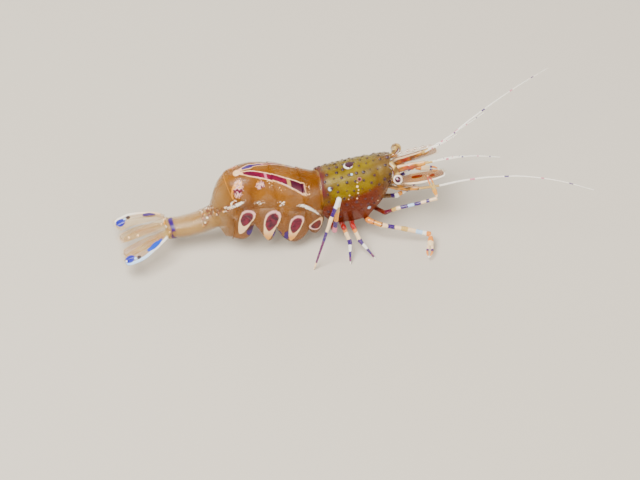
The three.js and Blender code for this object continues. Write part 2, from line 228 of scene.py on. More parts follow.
class Sketch(Tree):
    """One material's node tree, and the ways to paint in it."""

    def __init__(self, name: str) -> None:
        """Makes an empty material of that name."""
        self.material = bpy.data.materials.new(name)
        self.material.use_nodes = True
        super().__init__(self.material.node_tree)
        self.tree.nodes.clear()
        self._layout: Any = None

    def field(self, kind: str, settings: dict[str, Any], inputs: dict[Any, Any], output: Any) -> Field:
        """Adds a node and returns one of its outputs as a Field."""
        return Field(self, self.node(kind, settings, inputs).outputs[output])

    def math(self, operation: str, *operands: Any) -> Field:
        """Adds a Math node over Fields and numbers."""
        return self.field("ShaderNodeMath", {"operation": operation}, dict(enumerate(operands)), 0)

    def length(self, *parts: Field) -> Field:
        """The length of the vector that has these parts."""
        total = parts[0] * parts[0]
        for part in parts[1:]:
            total = total + part * part
        return self.math("SQRT", total)

    def vector(self, operation: str, inputs: dict[Any, Any]) -> Any:
        """Adds a Vector Math node and returns it."""
        return self.node("ShaderNodeVectorMath", {"operation": operation}, inputs)

    def layout_point(self) -> Any:
        """The place on the piece in layout millimetres, as a vector socket."""
        if self._layout is None:
            place = self.node("ShaderNodeTexCoord").outputs["Object"]
            scaled = self.vector("SCALE", {0: place, "Scale": 1 / MILLIMETRE}).outputs[0]
            self._layout = self.vector("ADD", {0: scaled, 1: tuple(-SHIFT)}).outputs[0]
        return self._layout

    def xyz(self, vector: Any = None) -> tuple[Field, Field, Field]:
        """The three parts of a vector, or of the layout point."""
        parts = self.node("ShaderNodeSeparateXYZ", None, {0: vector or self.layout_point()}).outputs
        return Field(self, parts[0]), Field(self, parts[1]), Field(self, parts[2])

    def uv(self, name: str) -> tuple[Field, Field]:
        """The two parts of a piece's own UV map."""
        u, v, _ = self.xyz(self.node("ShaderNodeUVMap", {"uv_map": name}).outputs[0])
        return u, v

    def noise(self, scale: float, detail: float = 2.0, roughness: float = 0.5) -> Field:
        """Cloudy noise from 0 to 1, with scale in turns for each millimetre."""
        inputs = {"Vector": self.layout_point(), "Scale": scale, "Detail": detail, "Roughness": roughness}
        return self.field("ShaderNodeTexNoise", {}, inputs, "Fac")

    def cells(self, scale: float, feature: str = "F1") -> Field:
        """The distance field of scattered cells, with scale in cells for each millimetre."""
        inputs = {"Vector": self.layout_point(), "Scale": scale}
        return self.field("ShaderNodeTexVoronoi", {"feature": feature}, inputs, "Distance")

    def mix(self, factor: Any, first: Any, second: Any) -> Any:
        """Blends two colours and returns the colour socket."""
        settings = {"data_type": "RGBA", "clamp_factor": True}
        return self.node("ShaderNodeMix", settings, {0: factor, 6: first, 7: second}).outputs[2]

    def cover(self, colour: Any, alpha: Field, marks: "Marks") -> tuple[Any, Field]:
        """Lays opaque marks over a surface, the last on top.

        Args:
            colour: The surface's colour.
            alpha: The surface's opacity.
            marks: The mask and the colour of each mark.

        Returns:
            The new colour and opacity.
        """
        for mask, tint in marks:
            colour, alpha = self.mix(mask, colour, tint), alpha | mask
        return colour, alpha

    def bands(self, share: Field, stops: "Bands") -> Any:
        """Bands with crisp edges, from the share where each begins and its colour."""
        made = self.node("ShaderNodeValToRGB", {"stops": stops}, {0: share})
        made.color_ramp.interpolation = "CONSTANT"
        return made.outputs[0]

    def bump(self, height: Field, strength: float, distance: float) -> Any:
        """A bump from a height in 0 to 1, with distance in millimetres."""
        inputs = {"Height": height, "Strength": strength, "Distance": distance * MILLIMETRE}
        return self.node("ShaderNodeBump", None, inputs).outputs[0]

    def finish(self, colour: Any, roughness: Field, alpha: Field | None = None,
               **sockets: Any) -> Material:
        """Adds the shader and the output.

        Args:
            colour: The base colour.
            roughness: The roughness.
            alpha: The opacity, cut off at 1, or None for an opaque piece.
            sockets: The shader's other sockets, where Coat_Weight stands for Coat Weight.

        Returns:
            The material.
        """
        named = {name.replace("_", " "): value for name, value in sockets.items()}
        if alpha is not None:
            named["Alpha"] = alpha.math("MINIMUM", 1.0)
        inputs = {"Base Color": colour, "Roughness": roughness, **named}
        shader = self.node("ShaderNodeBsdfPrincipled", None, inputs).outputs[0]
        self.node("ShaderNodeOutputMaterial", None, {"Surface": shader})
        return self.material


Marks = Sequence[tuple[Field, Any]]         # masks and their colours
Bands = Sequence[tuple[float, Tint]]        # where each band begins, and its colour


# ---- mesh making ----

UV_FORM = "Form"        # u along the piece, v around it, both 0 to 1
UV_LENGTH = "Length"    # u is the length along a limb in UV_LENGTH_UNIT, v goes around it
UV_LENGTH_UNIT = 10.0   # millimetres
CAP_TURNS = (0.15, 0.6)     # where a tube's rounded end has rings, in shares of a quarter turn
CAP_REACH = 0.5             # how far the end stands out, in shares of the tube's lesser half size
SIDES = (("left", 1), ("right", -1))


def clamp(value: float, low: float = 0.0, high: float = 1.0) -> float:
    """Keeps a value within its limits."""
    return max(low, min(high, value))


def lerp(first: float, last: float, share: float) -> float:
    """The value a share of the way from first to last."""
    return first + (last - first) * share


def smooth(low: float, high: float, value: float) -> float:
    """A smooth step from 0 at low to 1 at high."""
    share = clamp((value - low) / (high - low))
    return share * share * (3 - 2 * share)


def hill(place: float, middle: float, width: float) -> float:
    """A smooth bump, 1 at its middle."""
    return math.exp(-((place - middle) / width) ** 2)


def along_three(three: Sequence[float], share: float) -> float:
    """The value at a share of the way along the parabola through three values."""
    first, middle, last = three
    ends = first * (1 - share) * (1 - 2 * share) + last * share * (2 * share - 1)
    return ends + 4 * middle * share * (1 - share)


def spline(values: Sequence[float], share: float) -> float:
    """A smooth curve through evenly numbered values, at a share from 0 to 1."""
    at = clamp(share) * (len(values) - 1)
    index = min(int(at), len(values) - 2)
    t = at - index
    p1, p2 = values[index], values[index + 1]
    p0 = values[index - 1] if index > 0 else 2 * p1 - p2
    p3 = values[index + 2] if index + 2 < len(values) else 2 * p2 - p1
    bend = 2 * p0 - 5 * p1 + 4 * p2 - p3
    return 0.5 * (2 * p1 + (p2 - p0) * t + bend * t * t + (3 * p1 - p0 - 3 * p2 + p3) * t ** 3)


def row_at(rows: Sequence[Sequence[float]], share: float) -> list[float]:
    """A row that lies between a table's rows, on a smooth curve down each column."""
    return [spline(column, share) for column in zip(*rows)]


def sleeve(rows: int, columns: int, start: int = 0) -> list[tuple[int, ...]]:
    """The faces between closed rings of vertices.

    Args:
        rows: How many spaces there are between the rings.
        columns: How many vertices each ring has.
        start: The number of the first ring's first vertex.

    Returns:
        The vertex numbers of each face.
    """
    faces = []
    for i in range(rows):
        for j in range(columns):
            a, b = start + i * columns + j, start + i * columns + (j + 1) % columns
            faces.append((a, b, b + columns, a + columns))
    return faces


def closed_sleeve(rows: int, columns: int) -> list[tuple[int, ...]]:
    """The faces of a sleeve with a lid on each end."""
    last_ring = reversed(range(rows * columns, (rows + 1) * columns))
    return [*sleeve(rows, columns), tuple(range(columns)), tuple(last_ring)]


def add_object(name: str, mesh: bpy.types.Mesh) -> Piece:
    """Puts a mesh in the scene as an object."""
    made = bpy.data.objects.new(name, mesh)
    bpy.context.scene.collection.objects.link(made)
    return made


def make_object(name: str, points: Sequence[Vector], faces: Sequence[Sequence[int]],
                uvs: dict[str, Sequence[Pair]]) -> Piece:
    """Makes a smooth mesh object from layout points.

    Args:
        name: The piece's name.
        points: The vertices, in layout millimetres.
        faces: The vertex numbers of each face.
        uvs: For each UV map, the place of each vertex.

    Returns:
        The object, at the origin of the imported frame.
    """
    mesh = bpy.data.meshes.new(name)
    mesh.from_pydata([metres(point) for point in points], [], faces)
    for title, places in uvs.items():
        layer = mesh.uv_layers.new(name=title)
        for loop in mesh.loops:
            layer.data[loop.index].uv = places[loop.vertex_index]
    editable = bmesh.new()
    editable.from_mesh(mesh)
    bmesh.ops.recalc_face_normals(editable, faces=editable.faces)
    editable.to_mesh(mesh)
    editable.free()
    mesh.shade_smooth()
    return add_object(name, mesh)


def thick_sheet(name: str, surface: Callable[[float, float], Vector],
                thickness: Callable[[float, float], float], steps: tuple[int, int]) -> Piece:
    """Makes a closed curved plate from the formula of its outer face.

    Args:
        name: The piece's name.
        surface: The outer face's point at u and v, each 0 to 1.
        thickness: The plate's thickness in millimetres at u and v.
        steps: The number of facets along u and along v.

    Returns:
        The plate, closed all round its edges.
    """
    rows, columns = steps
    nudge = 1e-3        # how far apart the points lie that give the surface's directions
    outer, inner, places = [], [], []
    for i in range(rows + 1):
        for j in range(columns + 1):
            u, v = i / rows, j / columns
            here = surface(u, v)
            ahead = surface(u + nudge, v) - surface(u - nudge, v)
            across = surface(u, v + nudge) - surface(u, v - nudge)
            inward = ahead.cross(across).normalized()
            outer.append(here)
            inner.append(here + inward * thickness(u, v))
            places.append((u, v))
    width = columns + 1
    half = len(outer)
    faces = []
    for i in range(rows):
        for j in range(columns):
            a = i * width + j
            faces.append((a, a + 1, a + width + 1, a + width))
            faces.append((half + a, half + a + width, half + a + width + 1, half + a + 1))
    rim = list(range(width))
    rim += [i * width + columns for i in range(1, rows + 1)]
    rim += [rows * width + j for j in range(columns - 1, -1, -1)]
    rim += [i * width for i in range(rows - 1, 0, -1)]
    for k, a in enumerate(rim):
        b = rim[(k + 1) % len(rim)]
        faces.append((a, half + a, half + b, b))
    return make_object(name, outer + inner, faces, {UV_FORM: places + places})


@dataclass(frozen=True)
class Station:
    """One cross-section of a tube: its centre, and half its width and height."""

    centre: Vector
    half_width: float
    half_height: float


def smooth_path(joints: Sequence[Vector], step: float, rounds: int) -> list[Vector]:
    """Even points along straight lengths, with the corners rounded off.

    Args:
        joints: The corners, in layout millimetres.
        step: The distance between points.
        rounds: How often each point is moved to the mean of its neighbours.

    Returns:
        The points, from the first joint to the last.
    """
    points = [joints[0]]
    for start, end in zip(joints, joints[1:]):
        count = max(1, round((end - start).length / step))
        points += [start.lerp(end, k / count) for k in range(1, count + 1)]
    for _ in range(rounds):
        middle = [(a + 2 * b + c) / 4 for a, b, c in zip(points, points[1:], points[2:])]
        points = [points[0], *middle, points[-1]]
    return points


def path_lengths(points: Sequence[Vector]) -> list[float]:
    """The distance along the path of each point."""
    lengths = [0.0]
    for start, end in zip(points, points[1:]):
        lengths.append(lengths[-1] + (end - start).length)
    return lengths


def tube(name: str, stations: Sequence[Station], hint: Vector, sides: int = 16,
         leans: Sequence[Vector] | None = None) -> Piece:
    """Makes a closed tube through cross-sections, with rounded ends.

    Args:
        name: The piece's name.
        stations: The cross-sections in order.
        hint: The direction near which the height is measured at the first station.
        sides: The number of facets around.
        leans: The height direction at each station, where they don't stand across the path.

    Returns:
        The tube, with its length and turn in UV_LENGTH.
    """
    centres = [station.centre for station in stations]
    lengths = path_lengths(centres)
    points, places = [], []
    up = hint.normalized()
    last = len(stations) - 1
    for i, station in enumerate(stations):
        along = (centres[min(i + 1, last)] - centres[max(i - 1, 0)]).normalized()
        side = along.cross(leans[i] if leans else up).normalized()
        up = leans[i] if leans else side.cross(along).normalized()
        reach = min(station.half_width, station.half_height) * CAP_REACH
        cap = [(reach * math.cos(turn * math.pi / 2), math.sin(turn * math.pi / 2)) for turn in CAP_TURNS]
        rings = [(-ahead, share) for ahead, share in cap] if i == 0 else []
        rings.append((0.0, 1.0))
        rings += reversed(cap) if i == last else []
        for ahead, share in rings:
            for k in range(sides):
                angle = 2 * math.pi * k / sides
                across = side * (station.half_width * share * math.cos(angle))
                above = up * (station.half_height * share * math.sin(angle))
                points.append(station.centre + along * ahead + across + above)
                places.append((lengths[i] / UV_LENGTH_UNIT, abs(2 * k / sides - 1)))
    return make_object(name, points, closed_sleeve(len(points) // sides - 1, sides), {UV_LENGTH: places})


def join(name: str, pieces: Sequence[Piece]) -> Piece:
    """Joins objects into the first of them and names it.

    Args:
        name: The joined piece's name.
        pieces: The objects, two or more.

    Returns:
        The joined object.
    """
    first = pieces[0]
    with bpy.context.temp_override(active_object=first, object=first,
                                   selected_editable_objects=list(pieces)):
        bpy.ops.object.join()
    first.name = name
    first.data.name = name
    return first


def dress(piece: Piece, material: Material | None, slot: str, *nodes: str) -> None:
    """Gives a finished piece what it lacks, and reports it.

    Args:
        piece: The piece.
        material: Its material, or None if it has one already.
        slot: The name of its material slot, which is only written to the log.
        nodes: The CAD nodes it stands for.
    """
    if material:
        piece.data.materials.append(material)
    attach(piece, BODY)
    if nodes:
        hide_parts(*nodes)
    LOG.info("%s: %d faces, slot %s", piece.name, len(piece.data.polygons), slot)


# ---- repeated small parts, made by Geometry Nodes ----


class Recipe(Tree):
    """A Geometry Nodes tree with named inputs, run once on a piece."""

    def __init__(self, name: str, sizes: dict[str, float]) -> None:
        """Makes the tree's ends.

        Args:
            name: The tree's name.
            sizes: The named number inputs and their values.
        """
        super().__init__(bpy.data.node_groups.new(name, "GeometryNodeTree"))
        self.tree.interface.new_socket("Geometry", in_out="INPUT", socket_type="NodeSocketGeometry")
        self.tree.interface.new_socket("Geometry", in_out="OUTPUT", socket_type="NodeSocketGeometry")
        self.sizes = sizes
        self.sockets = {}
        for title in sizes:
            made = self.tree.interface.new_socket(title, in_out="INPUT", socket_type="NodeSocketFloat")
            self.sockets[title] = made.identifier
        self.start = self.node("NodeGroupInput")

    def random(self, low: float, high: float, seed: int) -> Any:
        """A random number for each instance, as a socket."""
        settings, inputs = {"data_type": "FLOAT"}, {2: low, 3: high, "Seed": seed}
        return self.node("FunctionNodeRandomValue", settings, inputs).outputs[1]

    def run(self, mesh: bpy.types.Mesh, instances: dict[str, Any], name: str,
            material: Material) -> Piece:
        """Sets out the instances and turns the result into a plain mesh.

        Args:
            mesh: The mesh the tree reads.
            instances: The inputs of the node that sets out the instances.
            name: The finished piece's name.
            material: The material of the result.

        Returns:
            The finished piece.
        """
        placed = self.node("GeometryNodeInstanceOnPoints", None, instances).outputs[0]
        real = self.node("GeometryNodeRealizeInstances", None, {0: placed}).outputs[0]
        coated = self.node("GeometryNodeSetMaterial", None, {"Geometry": real, "Material": material})
        self.node("NodeGroupOutput", None, {0: coated.outputs[0]})
        source = add_object(name, mesh)
        modifier = source.modifiers.new("recipe", "NODES")
        modifier.node_group = self.tree
        for title, value in self.sizes.items():
            modifier[self.sockets[title]] = value
        evaluated = source.evaluated_get(bpy.context.evaluated_depsgraph_get())
        result = bpy.data.meshes.new_from_object(evaluated)
        source.modifiers.remove(modifier)
        bpy.data.objects.remove(source)
        result.shade_smooth()
        result.materials.clear()
        result.materials.append(material)
        result.name = name
        return add_object(name, result)


def bristles(name: str, margins: Sequence[Sequence[tuple[Vector, Vector]]], length: float, spacing: float,
             radius: float, seed: int, opacity: float = 0.55) -> Piece:
    """Makes a fringe of tapering bristles along margins.

    Args:
        name: The name of the piece that it edges.
        margins: Paths of (root, direction) pairs, in layout millimetres.
        length: A bristle's length in millimetres.
        spacing: The distance between roots in millimetres.
        radius: A bristle's radius at its root in millimetres.
        seed: The number that fixes their random lengths.
        opacity: How opaque they are.

    Returns:
        The fringe as one mesh, with its material.
    """
    points, edges, ways = [], [], []
    for margin in margins:
        for k, (root, way) in enumerate(margin):
            if k:
                edges.append((len(points) - 1, len(points)))
            points.append(metres(root))
            ways.append(way.normalized())
    title = f"{name}_fringe"
    mesh = bpy.data.meshes.new(title)
    mesh.from_pydata(points, edges, [])
    attribute = mesh.attributes.new("way", "FLOAT_VECTOR", "POINT")
    for k, way in enumerate(ways):
        attribute.data[k].vector = way

    recipe = Recipe(title, {"Spacing": spacing * MILLIMETRE, "Length": length * MILLIMETRE,
                            "Radius": radius * MILLIMETRE})
    size = recipe.start.outputs
    curve = recipe.node("GeometryNodeMeshToCurve", None, {0: size[0]}).outputs[0]
    apart = {0: curve, "Length": size["Spacing"]}
    even = recipe.node("GeometryNodeResampleCurve", {"mode": "LENGTH"}, apart)
    cone = recipe.node("GeometryNodeMeshCone", None, {
        "Vertices": 4, "Side Segments": 2, "Radius Top": 0.0, "Radius Bottom": size["Radius"],
        "Depth": size["Length"]})
    way = recipe.node("GeometryNodeInputNamedAttribute", {"data_type": "FLOAT_VECTOR"}, {"Name": "way"})
    turn = recipe.node("FunctionNodeAlignRotationToVector", {"axis": "Z"}, {"Vector": way.outputs[0]})
    tall = {0: 1.0, 1: 1.0, 2: recipe.random(0.75, 1.15, seed)}
    instances = {"Points": even.outputs[0], "Instance": cone.outputs[0], "Rotation": turn.outputs[0],
                 "Scale": recipe.node("ShaderNodeCombineXYZ", None, tall).outputs[0]}
    setae = PlainFinish(f"{name}_setae", Tint.CLEAR, Tint.CREAM, 1.0, 0.4, opacity).material()
    return recipe.run(mesh, instances, title, setae)


def freckles(name: str, ground: Piece, keep: Callable[[Vector, Vector], bool], apart: float,
             radius: float, material: Material, seed: int) -> Piece:
    """Scatters small flat drops of pigment over part of a piece.

    Args:
        name: The freckles' name.
        ground: The piece they lie on, which stays as it is.
        keep: Says for a face's layout centre and normal whether freckles lie there.
        apart: The least distance between two freckles, in millimetres.
        radius: A freckle's mean radius in millimetres.
        material: The freckles' material.
        seed: The number that fixes their places.

    Returns:
        The freckles as one mesh, with their material.
    """
    editable = bmesh.new()
    editable.from_mesh(ground.data)
    stray = [face for face in editable.faces
             if not keep(face.calc_center_median() / MILLIMETRE - SHIFT, face.normal)]
    bmesh.ops.delete(editable, geom=stray, context="FACES")
    mesh = bpy.data.meshes.new(name)
    editable.to_mesh(mesh)
    editable.free()

    recipe = Recipe(name, {"Apart": apart * MILLIMETRE, "Radius": radius * MILLIMETRE})
    size = recipe.start.outputs
    spread = recipe.node("GeometryNodeDistributePointsOnFaces", {"distribute_method": "POISSON"}, {
        "Mesh": size[0], "Distance Min": size["Apart"], "Density Max": 4e7, "Seed": seed}).outputs
    drop = recipe.node("GeometryNodeMeshIcoSphere", None, {"Radius": size["Radius"], "Subdivisions": 2})
    flat = recipe.node("ShaderNodeCombineXYZ", None, {0: 1.0, 1: 1.0, 2: 0.35}).outputs[0]
    grow = {0: flat, "Scale": recipe.random(0.55, 1.35, seed + 1)}
    instances = {"Points": spread["Points"], "Instance": drop.outputs[0], "Rotation": spread["Rotation"],
                 "Scale": recipe.node("ShaderNodeVectorMath", {"operation": "SCALE"}, grow).outputs[0]}
    return recipe.run(mesh, instances, name, material)


# ---- finishes ----

CRUMBLY_LENGTH = 0.5    # a streak with a lesser half length is broken up into crumbs


@dataclass(frozen=True)
class Teardrop:
    """A drop-shaped mark on a side plate, mirrored on the other side."""

    x: float
    z: float
    point_x: float
    point_z: float
    length: float
    width: float
    core: Tint = Tint.MAGENTA
    tail: float = 0.95          # how much of the pointed end is left pale
    gilt: float = 0.9           # how golden the pointed end is
    blunt: float = 0.35         # the least that the round end is squeezed

    def distance(self, sketch: Sketch, x: Field, z: Field) -> tuple[Field, Field]:
        """Measures from the drop's middle.

        Args:
            sketch: The material's sketch.
            x: The layout x.
            z: The layout z.

        Returns:
            The distance, which is 1 on the outline, and the place along the drop from -1 to 1.
        """
        size = math.hypot(self.point_x, self.point_z)
        way_x, way_z = self.point_x / size, self.point_z / size
        from_x, from_z = x - self.x, z - self.z
        along = (from_x * way_x + from_z * way_z) / (self.length / 2)
        across = (from_x * way_z - from_z * way_x) / (self.width / 2)
        taper = (along * 0.5 + 1.0).math("MAXIMUM", self.blunt)
        return sketch.length(along, across * taper), along


@dataclass(frozen=True)
class Streak:
    """A pale streak on the side of a ring, mirrored on the other side."""

    x: float
    z: float
    half_length: float
    half_height: float
    slope: float = 0.0
    bend: float = 0.0

    def distance(self, sketch: Sketch, x: Field, z: Field) -> Field:
        """The distance from the streak's middle, 1 on its outline."""
        from_x = x - self.x
        along = from_x / self.half_length
        across = (z - self.z - from_x * self.slope - from_x * from_x * self.bend) / self.half_height
        return sketch.length(along, across)


@dataclass(frozen=True)
class Dot:
    """A round mark: its middle, its radius and how soft its outline is."""

    x: float
    y: float
    z: float
    radius: float
    tint: Tint = Tint.CREAM
    soft: float = 0.02
    strength: float = 1.0

    def mark(self, s: Sketch, place: tuple[Field, Field, Field]) -> tuple[Field, Tint]:
        """Its mask and its colour, from the three parts of the place."""
        far = s.length(*(axis - middle for axis, middle in zip(place, (self.x, self.y, self.z))))
        return far.ramp(self.radius + self.soft, self.radius - self.soft) * self.strength, self.tint


@dataclass(frozen=True)
class Chevron:
    """The V over the back, its point at the hump and its arms running forward."""

    point_x: float = -8.66
    front_x: float = -2.45
    spread: float = 1.34
    opening: float = 0.72
    half_width: float = 0.33
    border: float = 0.09
    core: Pair = (-8.05, -2.95)
    gaps: tuple[tuple[float, float, Tint], ...] = ((-6.2, 0.08, Tint.ROSE), (-4.27, 0.13, Tint.SAND))


@dataclass(frozen=True)
class ShellFinish:
    """Clear amber shell with the ring's own marks."""

    name: str
    drops: tuple[Teardrop, ...] = ()
    streaks: tuple[Streak, ...] = ()
    wedges: tuple[Teardrop, ...] = ()
    patches: tuple[Streak, ...] = ()
    specks: tuple[Streak, ...] = ()
    chevron: Chevron | None = None
    chain: bool = False
    gilded: bool = False
    beaded: bool = False
    clearness: float = 0.3      # how opaque the bare shell is
    bow: Triple = (-8.32, 7.1, 0.93)        # centre x and z, radius
    beads_line: Pair = (1.13, 16.75)             # slope, height at x = 0

    def material(self) -> Material:
        """Writes the material."""
        s = Sketch(self.name)
        x, y, z = s.xyz()
        wave = s.noise(1.6, 2) - 0.5
        ragged = s.noise(5.0, 3) - 0.5
        crumb = s.noise(8.0, 2) - 0.5
        cloud = s.noise(0.55, 3)
        u, v = s.uv(UV_FORM)
        hem = u.ramp(0.9, 0.99) | u.ramp(0.08, 0.01)
        lobe = abs(v - 0.5).ramp(0.3, 0.36)
        colour = s.mix(cloud.ramp(0.3, 0.75) | lobe * 0.8, Tint.AMBER, Tint.DEEP_AMBER)
        colour = s.mix(x.ramp(-8.8, -11.0) * 0.5, colour, Tint.SAND)
        alpha = cloud * 0.1 + self.clearness + hem * 0.2 + lobe * 0.22 - x.ramp(-9.0, -11.5) * 0.1
        grains = s.cells(3.4)
        gold_and_cream = s.mix(ragged.ramp(-0.05, 0.05), Tint.GOLD, Tint.CREAM)
        dust = grains.ramp(0.085, 0.05) & s.noise(0.9).ramp(0.52, 0.62)
        if self.gilded:
            seam = u.between(0.955, 0.975, 0.008) & z.ramp(6.2, 6.6) & (ragged + wave).ramp(-0.25, -0.1)
            bow_x, bow_z, radius = self.bow
            bow = abs(s.length(x - bow_x, z - bow_z) - radius + wave * 0.1).ramp(0.09, 0.05)
            dust = dust | seam | (bow & x.ramp(-8.2, -8.35) & z.ramp(6.7, 6.9))
        marks = [(dust, Tint.GOLD)]
        for wedge in self.wedges:
            far, _ = wedge.distance(s, x, z)
            shade = s.mix(cloud.ramp(0.4, 0.6), Tint.VIOLET, Tint.DARK_PLUM)
            marks.append(((far + ragged * 0.25).ramp(1.0, 0.85), shade))
        for drop in self.drops:
            marks += self._drop_marks(s, drop, x, z, ragged)
        for speck in self.specks:
            near = (speck.distance(s, x, z) + wave).ramp(1.15, 0.9)
            marks.append((near & s.cells(4.6).ramp(0.27, 0.2), gold_and_cream))
        for streak in self.streaks:
            far = streak.distance(s, x, z) + crumb * 2.4 + wave * 0.4
            marks.append((far.ramp(1.5, 1.2) * s.cells(6.0).ramp(0.1, 0.06), Tint.GOLD))
            solid = far.ramp(1.08, 0.92)
            if streak.half_length < CRUMBLY_LENGTH:
                solid = solid & s.cells(4.0).ramp(0.44, 0.36)
            marks.append((solid, s.mix(ragged.ramp(0.08, 0.2), Tint.WHITE, Tint.CREAM)))
        for patch in self.patches:
            marks += self._patch_marks(s, patch, x, z, crumb, wave)
        if self.chain:
            slope, height = self.beads_line
            path = abs(z - x * slope - height + wave * 0.5)
            reach = x.ramp(-11.9, -11.6)
            marks.append((path.ramp(0.5, 0.2) & reach & s.noise(3.2, 3).ramp(0.46, 0.56) * 0.75, Tint.PLUM))
            beads = grains.ramp(0.38, 0.3) & path.ramp(0.42, 0.3) & reach
            marks.append((beads, s.mix(ragged.ramp(-0.05, 0.05), Tint.GOLD, Tint.WHITE)))
        if self.beaded:
            marks.append((u.between(0.84, 0.93, 0.02) & s.noise(1.3, 2).ramp(0.44, 0.5), Tint.VIOLET))
            marks.append((u.ramp(0.945, 0.96) & s.cells(2.6).ramp(0.36, 0.28), gold_and_cream))
        if self.chevron:
            marks += self._chevron_marks(s, x, y, z, ragged, wave)
        colour, alpha = s.cover(colour, alpha, marks)
        lines = s.noise(7.0, 2, 0.6)
        return s.finish(colour, lines * 0.16 + 0.22, alpha, Coat_Weight=0.12, Coat_Roughness=0.1,
                        Specular_IOR_Level=0.3, Normal=s.bump(lines + wave * 2, 0.25, 0.03))

    @staticmethod
    def _drop_marks(s: Sketch, drop: Teardrop, x: Field, z: Field, ragged: Field) -> Marks:
        """A drop's pale border and its dark core."""
        far, along = drop.distance(s, x, z)
        rim = (far + ragged * 0.14).ramp(1.04, 0.97)
        heart = (far + ragged * 0.14 + along.ramp(-0.15, 0.75) * drop.tail).ramp(0.9, 0.77)
        edge = s.mix(along.ramp(-0.2, -0.9), Tint.CREAM, Tint.PALE_ROSE)
        edge = s.mix(along.ramp(0.1, 0.85) * drop.gilt, edge, Tint.GOLD)
        core = s.mix(s.noise(3.0, 3).ramp(0.35, 0.7), drop.core, Tint.DARK_PLUM)
        core = s.mix(along.ramp(0.05, 0.5) * 0.6, core, Tint.WINE)
        return [(rim, edge), (heart, core)]

    @staticmethod
    def _patch_marks(s: Sketch, patch: Streak, x: Field, z: Field, crumb: Field, wave: Field) -> Marks:
        """A ragged pale patch with dark flecks in it."""
        far = patch.distance(s, x, z) + crumb * 2.2 + wave * 0.8
        within = far.ramp(1.1, 0.95)
        flecks = s.noise(3.0, 3)
        crumbs = s.mix(crumb.ramp(-0.05, 0.1), Tint.GOLD, Tint.CREAM)
        pale = s.mix(flecks.ramp(0.36, 0.48), crumbs, Tint.PALE_ROSE)
        return [(within * 0.9, pale), (within & flecks.ramp(0.5, 0.56), Tint.PLUM),
                (far.ramp(1.7, 1.4) & s.cells(5.0).ramp(0.1, 0.06), Tint.GOLD)]

    def _chevron_marks(self, s: Sketch, x: Field, y: Field, z: Field, ragged: Field, wave: Field) -> Marks:
        """The V's border and its broken core."""
        v = self.chevron
        share = (x - v.point_x) / (v.front_x - v.point_x)
        apart = share.math("MAXIMUM", 0.0) ** v.opening * v.spread
        edge = abs(abs(y) - apart) - share.ramp(-0.1, 0.24) * v.half_width + ragged * 0.1 + wave * 0.06
        edge = edge - share.ramp(0.62, 0.85) * 0.09 + (y.ramp(0.0, 0.1) & x.ramp(-7.3, -7.0)) * 0.13
        reach = share.between(-0.01, 1.0, 0.012) & z.ramp(5.3, 5.7)
        reach = reach & (x.ramp(-2.75, -2.95) | s.cells(4.4).ramp(0.34, 0.26))
        tip = s.length(x - v.point_x - 0.12, y) + ragged * 0.1
        band = (edge.ramp(0.015, -0.015) & reach) | (tip.ramp(0.36, 0.31) & z.ramp(6.0, 6.4))
        core = (edge + v.border).ramp(0.02, -0.02) & reach & (x + ragged * 0.15).between(*v.core, 0.04)
        rim = s.mix(ragged.ramp(-0.02, 0.12), Tint.CREAM, Tint.PALE_ROSE)
        rim = s.mix((wave.ramp(-0.1, 0.1) | x.ramp(-3.2, -2.9)) * 0.45, rim, Tint.GOLD)
        heart = s.mix(s.noise(2.2, 3).ramp(0.4, 0.6), Tint.MAGENTA, Tint.PLUM)
        heart = s.mix(x.ramp(-4.5, -4.1) * 0.7, heart, Tint.DARK_PLUM)
        heart = s.mix(y.ramp(-0.15, 0.05) & x.ramp(-5.9, -6.6), heart, Tint.VIOLET)
        for place, half, tint in v.gaps:
            heart = s.mix(abs(x + ragged * 0.2 - place).ramp(half + 0.06, half - 0.03) * 0.8, heart, tint)
        return [(band, rim), (core, heart)]


CARAPACE_DOTS = (
    Dot(1.61, -1.47, 6.14, 0.05), Dot(1.56, -1.69, 5.88, 0.1), Dot(1.62, -1.87, 5.62, 0.06),
    Dot(1.56, -1.99, 5.38, 0.07), Dot(1.44, -2.15, 4.9, 0.07), Dot(0.8, -2.01, 5.28, 0.06),
    Dot(0.69, -2.12, 4.95, 0.05), Dot(3.32, -1.96, 3.99, 0.05),
    Dot(-0.77, -1.44, 5.87, 0.17, Tint.ICE, 0.03), Dot(2.52, -2.11, 3.44, 0.165, Tint.ICE, 0.035),
    Dot(1.25, -0.81, 6.55, 0.11, Tint.ICE),
    Dot(1.83, -1.29, 6.31, 0.19, Tint.ROSE, strength=0.6), Dot(1.83, -1.29, 6.31, 0.13, Tint.DARK_PLUM),
    Dot(1.17, 0.15, 6.75, 0.415, Tint.WHITE, 0.025), Dot(1.27, 0.24, 6.75, 0.375, Tint.DARK_PLUM, 0.025))


